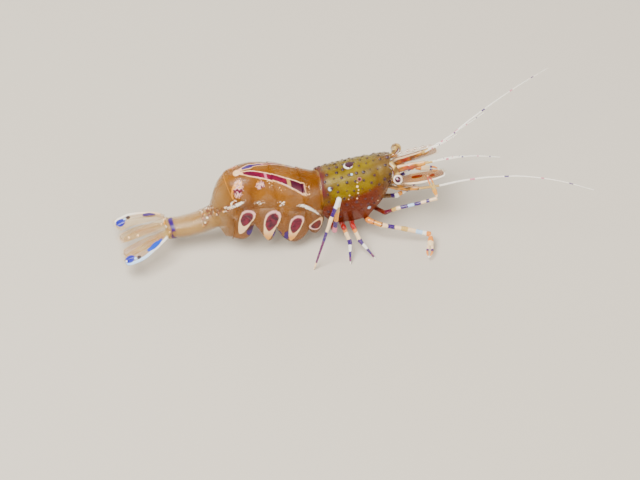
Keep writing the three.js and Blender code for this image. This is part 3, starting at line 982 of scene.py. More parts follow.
@dataclass(frozen=True)
class CarapaceFinish:
    """Clear shell over the head and chest, yellower over the back and smoky in front."""

    name: str = "carapace_shell"

    def material(self) -> Material:
        """Writes the material."""
        s = Sketch(self.name)
        x, y, z = s.xyz()
        cloud = s.noise(0.8, 4)
        front = x.ramp(2.9, 4.3)
        low = (z - x * 0.23).ramp(5.3, 4.5)
        colour = s.mix(cloud.ramp(0.35, 0.7), Tint.OLIVE, Tint.LIME)
        colour = s.mix(low, colour, Tint.RUST)
        colour = s.mix(front * 0.8, colour, Tint.SMOKE)
        rear = (x - z * 0.25 + cloud * 1.4).ramp(-1.2, -2.3) & z.ramp(4.6, 5.6)
        colour = s.mix(rear * 0.85, colour, Tint.PLUM)
        alpha = cloud * 0.14 + 0.34 + rear * 0.4 + low * 0.24
        gleam = s.cells(4.2).ramp(0.1, 0.06) & s.noise(1.1, 2).ramp(0.56, 0.62)
        marks = [(gleam, Tint.GOLD), *(dot.mark(s, (x, y, z)) for dot in CARAPACE_DOTS)]
        colour, alpha = s.cover(colour, alpha, marks)
        grain = s.noise(6.0, 3)
        return s.finish(colour, grain * 0.16 + 0.26, alpha, Coat_Weight=0.08, Coat_Roughness=0.12,
                        Specular_IOR_Level=0.25, Normal=s.bump(grain, 0.25, 0.03))


@dataclass(frozen=True)
class FleshFinish:
    """What shows through the shell: roe and stomach in the chest, clear muscle behind."""

    name: str = "flesh"

    def material(self) -> Material:
        """Writes the material."""
        s = Sketch(self.name)
        x, y, z = s.xyz()
        cloud, lumps = s.noise(0.7, 4), s.cells(1.5, "SMOOTH_F1")
        chest = x.ramp(-1.7, -0.7)
        roe = (z - x * 0.23 + (cloud - 0.5) * 1.4).ramp(4.7, 5.4) & x.ramp(3.7, 2.7)
        muscle = s.mix(cloud.ramp(0.3, 0.7), Tint.AMBER, Tint.DEEP_AMBER)
        muscle = s.mix(x.ramp(-8.8, -12.4) * 0.85, muscle, Tint.SAND)
        gill = s.mix(cloud.ramp(0.35, 0.65), Tint.RUST, Tint.BRICK)
        face = s.mix(cloud.ramp(0.3, 0.7), Tint.SMOKE, Tint.DEEP_AMBER)
        body = s.mix(x.ramp(2.9, 4.1), gill, face)
        glow = s.mix(lumps.ramp(0.15, 0.6), Tint.LIME, Tint.OLIVE)
        body = s.mix(roe, body, glow)
        colour = s.mix(chest, muscle, body)
        gut = abs(y).ramp(0.24, 0.1) & z.ramp(3.0, 3.6) & x.ramp(-0.4, -1.2)
        gut = gut & s.noise(1.4, 2).ramp(0.3, 0.42)
        colour = s.mix(gut * 0.6, colour, Tint.WINE)
        fibre = s.noise(2.6, 2, 0.7)
        colour = s.mix(fibre.ramp(0.55, 0.75) * 0.35, colour, Tint.SAND)
        alpha = (cloud * 0.2 + 0.5 - x.ramp(-8.6, -12.0) * 0.24 + chest * 0.5) | gut * 0.8
        return s.finish(colour, fibre * 0.2 + 0.3, alpha, Coat_Weight=0.2,
                        Normal=s.bump(fibre + lumps * chest, 0.4, 0.08))


@dataclass(frozen=True)
class BandedFinish:
    """Bands around a limb, given as (share of its length, colour) stops."""

    name: str
    length: float
    bands: Bands
    wander: float = 0.22        # how far a band's edge strays, in millimetres
    bleeding: Triple = (0.0006, 0.0003, 0.0002)     # of red, green and blue, metres

    def material(self) -> Material:
        """Writes the material."""
        s = Sketch(self.name)
        u, _ = s.uv(UV_LENGTH)
        ragged = s.noise(4.0, 3) - 0.5
        share = u * (UV_LENGTH_UNIT / self.length) + ragged * (self.wander / self.length)
        colour = s.bands(share, self.bands)
        fine = s.noise(9.0, 3)
        colour = s.mix(fine.ramp(0.55, 0.8) * 0.3, colour, Tint.CREAM)
        return s.finish(colour, fine * 0.15 + 0.2, Coat_Weight=0.4, Coat_Roughness=0.08,
                        Subsurface_Weight=0.15, Subsurface_Radius=self.bleeding, Subsurface_Scale=1.0,
                        Normal=s.bump(fine, 0.2, 0.02))


@dataclass(frozen=True)
class EyeFinish:
    """A dark glossy ball with a pale ring round a purple middle."""

    name: str
    centre: Triple
    facing: Triple

    def material(self) -> Material:
        """Writes the material."""
        s = Sketch(self.name)
        away = s.vector("SUBTRACT", {0: s.layout_point(), 1: self.centre}).outputs[0]
        outward = s.vector("NORMALIZE", {0: away}).outputs[0]
        facing = tuple(Vector(self.facing).normalized())
        turned = s.vector("DOT_PRODUCT", {0: outward, 1: facing}).outputs["Value"]
        ragged = (s.noise(5.0, 3) - 0.5) * 0.06
        edge = Field(s, turned) + ragged
        facets = s.cells(16.0)
        pale = s.mix(ragged.ramp(-0.012, 0.012), Tint.PALE_ROSE, Tint.WHITE)
        colour = s.mix(s.noise(2.5, 3).ramp(0.4, 0.6), Tint.SAND, Tint.SMOKE)
        colour = s.mix(edge.ramp(0.5, 0.56), colour, pale)
        colour = s.mix(edge.ramp(0.8, 0.84), colour, Tint.DARK_PLUM)
        colour = s.mix(edge.ramp(0.986, 0.997) * 0.5, colour, Tint.ROSE)
        return s.finish(colour, facets * 0.15 + 0.12, Coat_Weight=1.0, Coat_Roughness=0.02,
                        Normal=s.bump(facets, 0.15, 0.02))


@dataclass(frozen=True)
class BladeSpot:
    """A round mark on a blade, in shares of its length and width."""

    along: float
    across: float
    half_length: float
    half_width: float
    tint: Tint

    def mark(self, s: Sketch, u: Field, v: Field, ragged: Field) -> tuple[Field, Tint]:
        """Its mask and its colour."""
        along, across = (u - self.along) / self.half_length, (v - self.across) / self.half_width
        return (s.length(along, across) + ragged * 0.3).ramp(1.06, 0.92), self.tint


@dataclass(frozen=True)
class BladeFinish:
    """Clear fan blade: a pale outer edge, coloured spots and fine ribs."""

    name: str
    spots: tuple[BladeSpot, ...] = ()
    edge: tuple[Tint, Tint] | None = None
    edge_width: float = 0.09
    clearness: float = 0.2      # how opaque the bare blade is
    body: tuple[Tint, Tint] = (Tint.CLEAR, Tint.AMBER)
    fleck: Tint = Tint.CREAM
    rib_turns: float = 130.0    # the angle that the fine ribs run through from edge to edge

    def material(self) -> Material:
        """Writes the material."""
        s = Sketch(self.name)
        u, v = s.uv(UV_FORM)
        ragged = s.noise(3.5, 3) - 0.5
        ribs = s.math("SINE", v * self.rib_turns + ragged * 2)
        colour = s.mix(s.noise(0.9, 3).ramp(0.35, 0.7), *self.body)
        alpha = s.noise(1.2, 2) * 0.08 + self.clearness + ribs.ramp(0.4, 1.0) * 0.06
        dots = s.cells(2.3).ramp(0.09, 0.05) & s.noise(0.8, 2).ramp(0.55, 0.6)
        colour, alpha = s.mix(dots, colour, self.fleck), alpha | dots * 0.8
        if self.edge:
            rim = (v + ragged * 0.06).ramp(1 - self.edge_width * 1.25, 1 - self.edge_width)
            rim = rim & u.ramp(0.04, 0.12)
            colour = s.mix(rim, colour, s.mix(u.ramp(0.2, 0.7), *self.edge))
            alpha = alpha | rim
        colour, alpha = s.cover(colour, alpha, [spot.mark(s, u, v, ragged) for spot in self.spots])
        return s.finish(colour, s.noise(5.0) * 0.1 + 0.1, alpha, Coat_Weight=0.1, Specular_IOR_Level=0.3,
                        Normal=s.bump(ribs, 0.2, 0.02))


@dataclass(frozen=True)
class PlainFinish:
    """A finish of two colours that cloud into each other, for small parts."""

    name: str
    first: Tint
    second: Tint
    scale: float = 2.0
    roughness: float = 0.3
    opacity: float = 1.0

    def material(self) -> Material:
        """Writes the material."""
        s = Sketch(self.name)
        cloud = s.noise(self.scale, 3)
        colour = s.mix(cloud.ramp(0.35, 0.65), self.first, self.second)
        return s.finish(colour, cloud * 0.2 + self.roughness, cloud * 0.2 + self.opacity - 0.1,
                        Coat_Weight=0.3, Normal=s.bump(cloud, 0.2, 0.02))


# ---- studio ----


@dataclass(frozen=True)
class Studio:
    """The camera, the pale floor and the soft light."""

    azimuth: float = -13.0
    elevation: float = 48.0
    aim_right: float = -1.275
    aim_up: float = -6.12
    back_height: float = 6.8
    frame_width: float = 54.4
    distance: float = 350.0
    sensor: float = 36.0
    floor_size: float = 900.0       # from the middle to each edge
    glow: float = 0.38              # the light from all around
    clear_layers: int = 32          # how many clear surfaces a ray may pass

    def build(self) -> None:
        """Makes the camera, the floor, the world and the lamps."""
        self._camera()
        self._floor()
        self._world()
        self._lamp("lamp_key", Vector((-90, -60, 230)), 150, 1.45, (1.0, 0.955, 0.88))
        self._lamp("lamp_fill", Vector((190, -150, 120)), 170, 0.45, (1.0, 0.95, 0.87))
        self._lamp("lamp_rim", Vector((-40, 210, 110)), 150, 0.2, (1.0, 0.97, 0.93))
        bpy.context.scene.cycles.transparent_max_bounces = self.clear_layers
        LOG.info("studio: camera %.0f mm away, frame %.1f mm wide", self.distance, self.frame_width)

    def _axes(self) -> tuple[Vector, Vector, Vector]:
        """The camera's right, up and backward directions."""
        turn, rise = math.radians(self.azimuth), math.radians(self.elevation)
        right = Vector((math.cos(turn), math.sin(turn), 0))
        back = Vector((math.sin(turn) * math.cos(rise), -math.cos(turn) * math.cos(rise), math.sin(rise)))
        return right, back.cross(right), back

    def _camera(self) -> None:
        """Makes the camera and looks through it."""
        right, up, back = self._axes()
        aim = Vector((0, 0, self.back_height)) + right * self.aim_right + up * self.aim_up
        data = bpy.data.cameras.new("camera")
        data.sensor_width = self.sensor
        data.lens = self.sensor * self.distance / self.frame_width
        data.clip_start = 0.01
        camera = add_object("camera", data)
        camera.matrix_world = Matrix.Translation(metres(aim + back * self.distance)) @ Matrix(
            (right, up, back)).transposed().to_4x4()
        bpy.context.scene.camera = camera

    def _floor(self) -> None:
        """Makes the floor."""
        places = [(0, 0), (1, 0), (1, 1), (0, 1)]
        corners = [Vector((2 * u - 1, 2 * v - 1, 0)) * self.floor_size for u, v in places]
        floor = make_object("floor", corners, [(0, 1, 2, 3)], {UV_FORM: places})
        s = Sketch("floor")
        cloud = s.noise(0.02, 3)
        colour = s.mix(cloud * 0.12, Tint.FLOOR, Tint.SAND)
        floor.data.materials.append(s.finish(colour, cloud * 0.1 + 0.6))
        floor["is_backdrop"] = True

    def _world(self) -> None:
        """Lights the scene softly from all around."""
        world = bpy.data.worlds.new("world")
        world.use_nodes = True
        background = world.node_tree.nodes["Background"]
        background.inputs["Color"].default_value = srgb(250, 243, 228)
        background.inputs["Strength"].default_value = self.glow
        bpy.context.scene.world = world

    @staticmethod
    def _lamp(name: str, place: Vector, size: float, power: float,
              colour: Triple) -> None:
        """Makes one soft lamp that looks at the animal.

        Args:
            name: The lamp's name.
            place: Where it is, in layout millimetres.
            size: Its side in millimetres.
            power: Its power in watts.
            colour: Its linear red, green and blue.
        """
        data = bpy.data.lights.new(name, "AREA")
        data.size = size * MILLIMETRE
        data.energy = power
        data.color = colour
        lamp = add_object(name, data)
        lamp.location = metres(place)
        lamp.rotation_euler = (-place).to_track_quat("-Z", "Y").to_euler()


# ---- abdomen ----


ARCH_SHARE = 0.6        # how much of a plate's half girth is the rounded back
PLATE = 0.07            # how thick the clear shell is


@dataclass(frozen=True)
class AbdomenRing:
    """One ring of the tail: three stations of its back line, and its girth."""

    number: int
    xs: Triple
    heights: Triple
    tilts: Triple
    half_widths: Triple
    shoulder: float
    sternum: float
    lobe: float
    flare: float
    finish: ShellFinish
    spread: float = 0.0         # how much wider the side plate is at its lower edge, both ways
    sweep: float = 0.0          # how far the side plate's lower edge lies further back
    start: float = -0.05
    end: float = 1.07

    def axis(self, share: float) -> tuple[Vector, Vector, float]:
        """The back line's point, the inward direction and the half width at a share of the ring."""
        tilt = math.radians(along_three(self.tilts, share))
        top = Vector((along_three(self.xs, share), 0, along_three(self.heights, share)))
        down = Vector((math.sin(tilt), 0, -math.cos(tilt)))
        return top, down, along_three(self.half_widths, share)

    def surface(self, u: float, v: float) -> Vector:
        """A point on the plate's outer face, u along the ring and v across it."""
        share = lerp(self.start, self.end, (1 - math.cos(math.pi * u)) / 2)
        across = 2 * v - 1
        side = math.copysign(1, across)
        lower = max(0.0, (abs(across) - ARCH_SHARE) / (1 - ARCH_SHARE))
        angle = min(abs(across) / ARCH_SHARE, 1.0) * math.pi / 2
        roundness = math.sin(math.pi * clamp(share, 0.004, 0.996)) ** 0.5
        top, down, half = self.axis(share)
        back = Vector((down.z, 0, -down.x))
        width = half * math.sin(angle) if lower == 0 else half + self.flare * roundness * lower
        depth = self.shoulder * (1 - math.cos(angle))
        depth += (lerp(self.sternum + 0.35, self.lobe, roundness) - self.shoulder) * lower
        lift = -0.07 + 0.09 * clamp(share) + abs(self.spread) * 0.06 * lower
        outward = Vector((0, side * math.sin(angle), 0)) - down * math.cos(angle)
        slide = (share - 0.5) * self.spread * lower ** 1.5 + self.sweep * lower ** 1.5
        curl = 0.1 * lower ** 3
        place = top + Vector((0, side * (width - curl), 0)) + down * depth
        return place + outward * lift + back * slide

    def build(self) -> Piece:
        """Makes the plate."""
        return thick_sheet(f"shell_ring_{self.number}", self.surface, self._thickness, (34, 88))

    def _thickness(self, u: float, v: float) -> float:
        """The plate's thickness: thinner in front, with a raised hem at the back edge."""
        return PLATE * (0.8 + 0.2 * u + 0.45 * smooth(0.9, 0.98, u))

    def dress(self, piece: Piece) -> None:
        """Finishes the plate."""
        dress(piece, self.finish.material(), "clear_shell", f"abdomen_{self.number}")


@dataclass(frozen=True)
class LastRing:
    """The long, slim sixth ring, which is a barrel."""

    xs: Triple = (-10.98, -12.75, -14.7)
    heights: Triple = (4.24, 3.55, 3.2)
    tilts: Triple = (32, 13, 5)
    half_widths: Triple = (1.1, 1.06, 0.98)
    depths: Triple = (1.9, 1.82, 1.62)
    drift: float = 0.4          # how far its end lies to the left
    steps: tuple[int, int] = (30, 48)

    def surface(self, u: float, v: float) -> Vector:
        """A point on the barrel, u along it and v around it from the belly."""
        top, down, half, depth = self.axis(u)
        turn = 2 * math.pi * v
        hem = 0.05 * smooth(0.86, 0.97, u)
        back = Vector((down.z, 0, -down.x))
        corner = 0.35 * smooth(0.75, 1.0, u) * math.cos(2 * turn) ** 2
        place = top + down * (depth / 2) * (1 + math.cos(turn)) + back * corner * 0.3
        return place + Vector((0, (half + hem) * math.sin(turn), 0)) - down * (hem * -math.cos(turn))

    def axis(self, share: float) -> tuple[Vector, Vector, float, float]:
        """The back line's point, the inward direction, half width and depth at a share."""
        columns = (self.xs, self.heights, self.tilts, self.half_widths, self.depths)
        x, z, tilt, half, depth = (along_three(column, share) for column in columns)
        down = Vector((math.sin(math.radians(tilt)), 0, -math.cos(math.radians(tilt))))
        return Vector((x, self.drift * share * abs(share), z)), down, half, depth

    def build(self) -> Piece:
        """Makes the barrel, open at both ends like a sleeve."""
        rows, columns = self.steps
        points, places = [], []
        for inset in (0.0, PLATE):
            for i in range(rows + 1):
                top, down, half, depth = self.axis(i / rows)
                middle = top + down * (depth / 2)
                for j in range(columns):
                    place = self.surface(i / rows, j / columns)
                    points.append(place + (middle - place).normalized() * inset)
                    places.append((i / rows, abs(2 * j / columns - 1)))
        half_count = (rows + 1) * columns
        faces = sleeve(rows, columns) + sleeve(rows, columns, half_count)
        for row in (0, rows):
            for j in range(columns):
                a, b = row * columns + j, row * columns + (j + 1) % columns
                faces.append((a, half_count + a, half_count + b, b))
        return make_object("shell_ring_6", points, faces, {UV_FORM: places})

    def dress(self, piece: Piece) -> None:
        """Finishes the barrel."""
        finish = ShellFinish("shell_ring_6", chain=True, beaded=True, clearness=0.22)
        dress(piece, finish.material(), "clear_shell", "abdomen_6")


# ---- the skin within the shell ----


@dataclass(frozen=True)
class Flesh:
    """One skin from the face to the tail's root; the chest's rows are x, top, bottom and half width."""

    gap: float = 0.22           # between the skin and the shell
    fine: int = 8               # how many rings lie between two cross-sections
    sides: int = 56
    chest: tuple[Row, ...] = (
        (4.85, 6.5, 4.9, 0.6), (4.6, 6.84, 4.3, 0.96), (4.1, 6.83, 3.4, 1.34), (3.4, 6.76, 2.65, 1.72),
        (2.2, 6.61, 2.1, 1.96), (0.8, 6.47, 2.0, 2.04), (-0.6, 6.31, 2.2, 1.98), (-1.3, 6.17, 2.6, 1.84))

    def build(self, rings: Sequence[AbdomenRing], barrel: LastRing) -> Piece:
        """Makes the skin.

        Args:
            rings: The plates it lies inside, from the front.
            barrel: The sixth ring.

        Returns:
            The skin.
        """
        middles, sizes, leans = [], [], []
        for x, top, bottom, half in self.chest:
            middles.append(Vector((x, 0, (top + bottom) / 2)))
            sizes.append((half, (top - bottom) / 2))
            leans.append(Vector((0, 0, 1)))
        for ring in rings:
            for share in (0.15, 0.5, 0.85):
                top, down, half = ring.axis(share)
                depth = ring.sternum + 0.15
                bulge = 0.06 * math.sin(math.pi * share)
                middles.append(top + down * (depth / 2 + self.gap / 2))
                sizes.append((half - self.gap + bulge, depth / 2 - self.gap / 2 + bulge))
                leans.append(-down)
        for share in (0.15, 0.4, 0.7, 0.97):
            top, down, half, depth = barrel.axis(share)
            middles.append(top + down * (depth / 2))
            sizes.append((half - self.gap, depth / 2 - self.gap))
            leans.append(-down)
        stations, ups = [], []
        count = (len(middles) - 1) * self.fine
        for k in range(count + 1):
            share = k / count
            stations.append(Station(Vector(row_at(middles, share)), *row_at(sizes, share)))
            ups.append(Vector(row_at(leans, share)).normalized())
        return tube("flesh", stations, Vector((0, 0, 1)), self.sides, ups)

    def dress(self, piece: Piece) -> None:
        """Finishes the skin."""
        dress(piece, FleshFinish().material(), "underside", "thorax")


# ---- carapace and rostrum ----


@dataclass(frozen=True)
class Carapace:
    """The head and chest shield, with eye notches in front and a rostrum on its ridge."""

    xs: tuple[float, ...] = (-1.35, -0.6, 0.8, 2.2, 3.4, 4.15, 4.65)
    backs: tuple[float, ...] = (6.3, 6.42, 6.58, 6.72, 6.87, 6.98, 7.05)
    half_widths: tuple[float, ...] = (1.95, 2.08, 2.15, 2.08, 1.85, 1.55, 1.15)
    shoulders: tuple[float, ...] = (2.2, 2.3, 2.4, 2.3, 2.0, 1.6, 1.2)
    bottoms: tuple[float, ...] = (2.9, 2.35, 2.15, 2.2, 2.65, 3.3, 4.3)
    bottom_halves: tuple[float, ...] = (1.9, 1.95, 1.95, 1.85, 1.65, 1.4, 1.05)
    steps: tuple[int, int] = (64, 120)
    back_notch: float = 0.28
    front_x: float = 4.92
    corner: float = 2.1             # how far the lower front corner is drawn back
    spine: Triple = (0.44, 0.045, 0.42)     # place on the margin, half width, length
    socket: Triple = (0.24, 0.13, 0.4)      # place on the margin, width, depth
    ridge: float = 0.1
    groove: float = 0.07

    def at(self, values: Sequence[float], x: float) -> float:
        """One of the tables' values at a place along the shield."""
        xs = self.xs
        index = max(k for k in range(len(xs) - 1) if k == 0 or xs[k] <= x)
        share = clamp((x - xs[index]) / (xs[index + 1] - xs[index]), -0.4, 1.3)
        if 0 <= share <= 1:
            return spline(values, (index + share) / (len(xs) - 1))
        return lerp(values[index], values[index + 1], share)

    def front(self, across: float) -> float:
        """The x of the front margin, with across 0 on the ridge and 1 at the lower edge."""
        place, width, depth = self.socket
        notch = depth * hill(across, place, width)
        where, half_width, length = self.spine
        thorn = length * max(0.0, 1 - abs(across - where) / half_width)
        corner = self.corner * smooth(0.5, 1.0, across) ** 1.6
        return self.front_x - notch + thorn - corner - 0.25 * smooth(0.2, 0.5, across)

    def surface(self, u: float, v: float) -> Vector:
        """A point on the outer face, u from the back edge forward and v across."""
        across = 2 * v - 1
        q = abs(across)
        side = math.copysign(1, across)
        rear = self.xs[0] - 0.16 + self.back_notch * (1 - q) ** 2 * 0.6 + 0.55 * smooth(0.8, 1.0, q)
        x = lerp(rear, self.front(q), u)
        back, half, shoulder = (self.at(t, x) for t in (self.backs, self.half_widths, self.shoulders))
        bottom, bottom_half = self.at(self.bottoms, x), self.at(self.bottom_halves, x)
        lower = max(0.0, (q - ARCH_SHARE) / (1 - ARCH_SHARE))
        angle = min(q / ARCH_SHARE, 1.0) * math.pi / 2
        width, height = half * math.sin(angle), back - shoulder * (1 - math.cos(angle))
        if lower > 0:
            bulge = math.sin(math.pi * lower) * 0.07
            width = lerp(half, bottom_half, lower ** 1.5) + bulge
            height = lerp(back - shoulder, bottom, lower)
        ridge = self.ridge * hill(q, 0.0, 0.05) * smooth(2.2, 3.6, x)
        groove = self.groove * hill(x, 2.75 + (1 - q) * 0.9, 0.28)
        groove *= smooth(0.1, 0.3, q) * smooth(0.9, 0.7, q)
        lift = 0.02 - groove
        return Vector((x, side * (width + lift * math.sin(angle)), height + ridge + lift * math.cos(angle)))

    def build(self) -> tuple[Piece, Piece]:
        """Makes the shield and its rostrum."""
        shield = thick_sheet("carapace_shell", self.surface, self._thickness, self.steps)
        return shield, Rostrum().build()

    def _thickness(self, u: float, v: float) -> float:
        """Thicker along the hems."""
        hem = max(smooth(0.05, 0.0, u), smooth(0.97, 1.0, u), smooth(0.95, 1.0, abs(2 * v - 1)))
        return 0.07 + 0.04 * hem

    def dress(self, pieces: tuple[Piece, Piece]) -> None:
        """Finishes the shield and the rostrum, and adds the freckles of pigment."""
        shield, rostrum = pieces
        ink = PlainFinish("pigment", Tint.INK, Tint.DARK_PLUM, 3.0, 0.35).material()
        spots = freckles("carapace_freckles", shield, self._freckled, 0.6, 0.115, ink, 11)
        dress(shield, CarapaceFinish().material(), "carapace_shell", "carapace")
        dress(rostrum, RostrumFinish().material(), "carapace_shell", "rostrum")
        dress(spots, None, "carapace_shell")

    @staticmethod
    def _freckled(place: Vector, normal: Vector) -> bool:
        """Freckles lie on the outer face, over all but the lower hem."""
        middle = Vector((2.0, 0, 4.2))
        return normal.dot(place - middle) > 0 and place.z > 3.0 + 0.2 * place.x and place.x > -1.1


@dataclass(frozen=True)
class Rostrum:
    """The toothed blade between the eyes."""

    start: float = 3.35
    end: float = 8.75
    line: tuple[float, ...] = (6.9, 6.98, 7.08, 7.24, 7.42, 7.62)       # heights of its middle line
    depths: tuple[float, ...] = (0.04, 0.16, 0.24, 0.24, 0.17, 0.015)   # half depths without teeth
    half_thickness: float = 0.11
    teeth: int = 8
    tooth: float = 0.17
    low_tooth: float = 0.1
    step: float = 0.03

    def build(self) -> Piece:
        """Makes the blade through eight-sided sections."""
        count = round((self.end - self.start) / self.step)
        points, places = [], []
        for k in range(count + 1):
            share = k / count
            x = lerp(self.start, self.end, share)
            middle, depth = spline(self.line, share), spline(self.depths, share)
            tooth = (share * (self.teeth + 0.5)) % 1.0
            above = self.tooth * smooth(0.15, 0.85, tooth) * smooth(1.0, 0.85, tooth)
            above *= smooth(1.0, 0.9, share)
            low = (share - 0.66) / 0.1
            below = self.low_tooth * smooth(0.0, 0.6, low) * smooth(1.0, 0.8, low)
            thick = self.half_thickness * min(1.0, depth / 0.15)
            ring = ((0, depth + above), (thick, depth * 0.45), (thick * 1.35, 0),
                    (thick * 0.5, -depth * 0.6), (0, -depth - below), (-thick * 0.5, -depth * 0.6),
                    (-thick * 1.35, 0), (-thick, depth * 0.45))
            points += [Vector((x, y, middle + z)) for y, z in ring]
            places += [(share, j / len(ring)) for j in range(len(ring))]
        return make_object("rostrum_blade", points, closed_sleeve(count, len(ring)), {UV_FORM: places})


@dataclass(frozen=True)
class RostrumFinish:
    """Clear blade with a white stripe along its middle and dark dots at its root."""

    name: str = "rostrum_blade"

    def material(self) -> Material:
        """Writes the material."""
        s = Sketch(self.name)
        u, v = s.uv(UV_FORM)
        x, _, _ = s.xyz()
        ragged = s.noise(4.0, 3) - 0.5
        colour = s.mix(s.noise(1.5, 3).ramp(0.4, 0.6), Tint.AMBER, Tint.DEEP_AMBER)
        stripe = (abs(abs(v - 0.5) - 0.25) + ragged * 0.1).ramp(0.13, 0.07) & u.ramp(0.36, 0.42)
        dots = s.cells(1.7).ramp(0.16, 0.11) & x.ramp(6.6, 6.2)
        colour = s.mix(stripe, s.mix(dots, colour, Tint.INK), Tint.WHITE)
        alpha = (s.noise(2.0) * 0.2 + 0.55) | stripe | dots
        return s.finish(colour, ragged * 0.1 + 0.2, alpha, Coat_Weight=0.5, Normal=s.bump(ragged, 0.2, 0.02))


# ---- eyes ----


@dataclass(frozen=True)
class Eye:
    """A stalked eye."""

    side: str
    stalk: tuple[Vector, ...]
    centre: Vector
    lift: float = 0.22          # how far the ringed middle is turned up
    radius: float = 0.46
    stalk_radii: tuple[float, ...] = (0.34, 0.27, 0.26, 0.32, 0.4)
    steps: tuple[int, int] = (36, 48)
    length: float = 1.06        # the ball's length in shares of its width

    def build(self) -> tuple[Piece, Piece]:
        """Makes the stalk and the ball."""
        facing = (self.centre - self.stalk[-1]).normalized()
        reach = [*self.stalk, self.centre - facing * 0.1]
        path = smooth_path(reach, 0.08, 3)
        lengths = path_lengths(path)
        stations = []
        for place, length in zip(path, lengths):
            share = length / lengths[-1]
            half = spline(self.stalk_radii, share)
            stations.append(Station(place, half, half))
        stalk = tube(f"eye_stalk_{self.side}", stations, Vector((1, 0, 0)), 28)
        return stalk, self._ball(facing)

    def _ball(self, facing: Vector) -> Piece:
        """Makes the cornea: a ball a little longer than wide, with its pole facing out."""
        rows, columns = self.steps
        first = facing.orthogonal().normalized()
        second = facing.cross(first)
        points, places = [], []
        for i in range(rows + 1):
            polar = math.pi * clamp(i / rows, 0.002, 0.998)
            for j in range(columns):
                turn = 2 * math.pi * j / columns
                around = first * math.cos(turn) + second * math.sin(turn)
                way = facing * math.cos(polar) * self.length + around * math.sin(polar)
                points.append(self.centre + way * self.radius)
                places.append((i / rows, j / columns))
        return make_object(f"eye_ball_{self.side}", points, closed_sleeve(rows, columns), {UV_FORM: places})

    def dress(self, pieces: tuple[Piece, Piece]) -> None:
        """Finishes the stalk and the ball."""
        stalk, ball = pieces
        facing = self.centre - self.stalk[-1] + Vector((-0.12, 0, self.lift))
        dress(stalk, StalkFinish(stalk.name).material(), "eyestalk", f"eyestalk_{self.side}")
        finish = EyeFinish(ball.name, tuple(self.centre), tuple(facing))
        dress(ball, finish.material(), "eye", f"eye_{self.side}")


@dataclass(frozen=True)
class StalkFinish:
    """Clear smoky stalk with a white line along it between two purple ones."""

    name: str

    def material(self) -> Material:
        """Writes the material."""
        s = Sketch(self.name)
        _, around = s.uv(UV_LENGTH)
        ragged = s.noise(4.0, 3) - 0.5
        colour = s.mix(s.noise(2.0, 3).ramp(0.4, 0.6), Tint.SMOKE, Tint.CLEAR)
        line = abs(around + ragged * 0.1 - 0.5)
        colour = s.mix(line.ramp(0.26, 0.2), colour, Tint.PLUM)
        colour = s.mix(line.ramp(0.11, 0.07), colour, Tint.WHITE)
        colour = s.mix(s.cells(3.0).ramp(0.15, 0.1), colour, Tint.INK)
        return s.finish(colour, ragged * 0.1 + 0.2, Coat_Weight=0.5, Normal=s.bump(ragged, 0.2, 0.02))


# ---- tail fan ----


FAN_START = -14.75      # the x where the fan begins
FAN_DRIFT = 0.4         # how far it lies to the left there
FAN_TURN = 0.1          # how far it turns back for each millimetre


def round_tip(share: float, start: float) -> float:
    """The half width of a blade with a round tip that starts at a share of its length."""
    return math.sqrt(clamp(1 - ((share - start) / (1 - start)) ** 2)) if share > start else 1.0


@dataclass(frozen=True)
class Blade:
    """One blade of the tail fan: stations of x, side offset, height and half width."""

    name: str
    node: str
    stations: tuple[Row, ...]
    finish: BladeFinish
    side: int = 1
    middle_thickness: float = 0.13
    fringe: Triple = (0.35, 0.35, 0.42)     # start on either edge, bristle length
    keel: float = 0.1           # the height of the middle rib at the root
    rim: float = 0.03           # the height of the outer hem
    arch: float = 0.1           # how far the middle stands up, in shares of the half width
    round_from: float = 0.9
    fringe_steps: int = 60

    def station(self, u: float) -> tuple[Vector, float]:
        """The middle of the blade and its half width at a share of its length."""
        x, off, z, half = row_at(self.stations, u)
        y = self.side * off + FAN_DRIFT - FAN_TURN * (FAN_START - x)
        return Vector((x, y, z)), half * max(round_tip(u, self.round_from), 0.02)

    def surface(self, u: float, v: float) -> Vector:
        """A point on the upper face, u from root to tip and v from the inner to the outer edge."""
        middle, half = self.station(clamp(u, 0.0, 1.0))
        before, _ = self.station(clamp(u - 0.02))
        after, _ = self.station(clamp(u + 0.02))
        along = (after - before).normalized()
        across = Vector((0, 0, 1)).cross(along).normalized() * -self.side
        way = 2 * v - 1
        arch = self.arch * (1 - way * way) * half
        rib = self.keel * hill(way, 0.0, 0.09) * (1 - 0.6 * u)
        rim = self.rim * hill(way, 0.97, 0.05)
        return middle + across * (half * way) + Vector((0, 0, arch + rib + rim))

    def build(self) -> list[Piece]:
        """Makes the blade and its fringe."""
        blade = thick_sheet(self.name, self.surface, self._thickness, (60, 44))
        start_inner, start_outer, length = self.fringe
        rim = []
        for k in range(self.fringe_steps + 1):
            share = 2 * k / self.fringe_steps - 1
            if share < 0:
                u, v = lerp(start_inner, 1.0, 1 + share), 0.0
            else:
                u, v = lerp(1.0, start_outer, share), 1.0
            if abs(share) < 0.12:
                u, v = 1.0, clamp(0.5 + share / 0.24)
            here = self.surface(min(u, 0.995), v)
            middle, _ = self.station(max(0.0, u - 0.25))
            way = (here - middle).normalized()
            rim.append((here - way * 0.05, way + Vector((-0.5, 0, 0))))
        return [blade, bristles(self.name, [rim], length, 0.075, 0.017, 5)]

    def _thickness(self, u: float, v: float) -> float:
        """Thickest along the middle rib and at the root."""
        way = 2 * v - 1
        return 0.05 + self.middle_thickness * (1 - way * way) * (1 - 0.75 * u)

    def dress(self, pieces: list[Piece]) -> None:
        """Finishes the blade and its fringe."""
        blade, fringe = pieces
        dress(blade, self.finish.material(), "tail_fan", self.node)
        dress(fringe, None, "tail_fan")


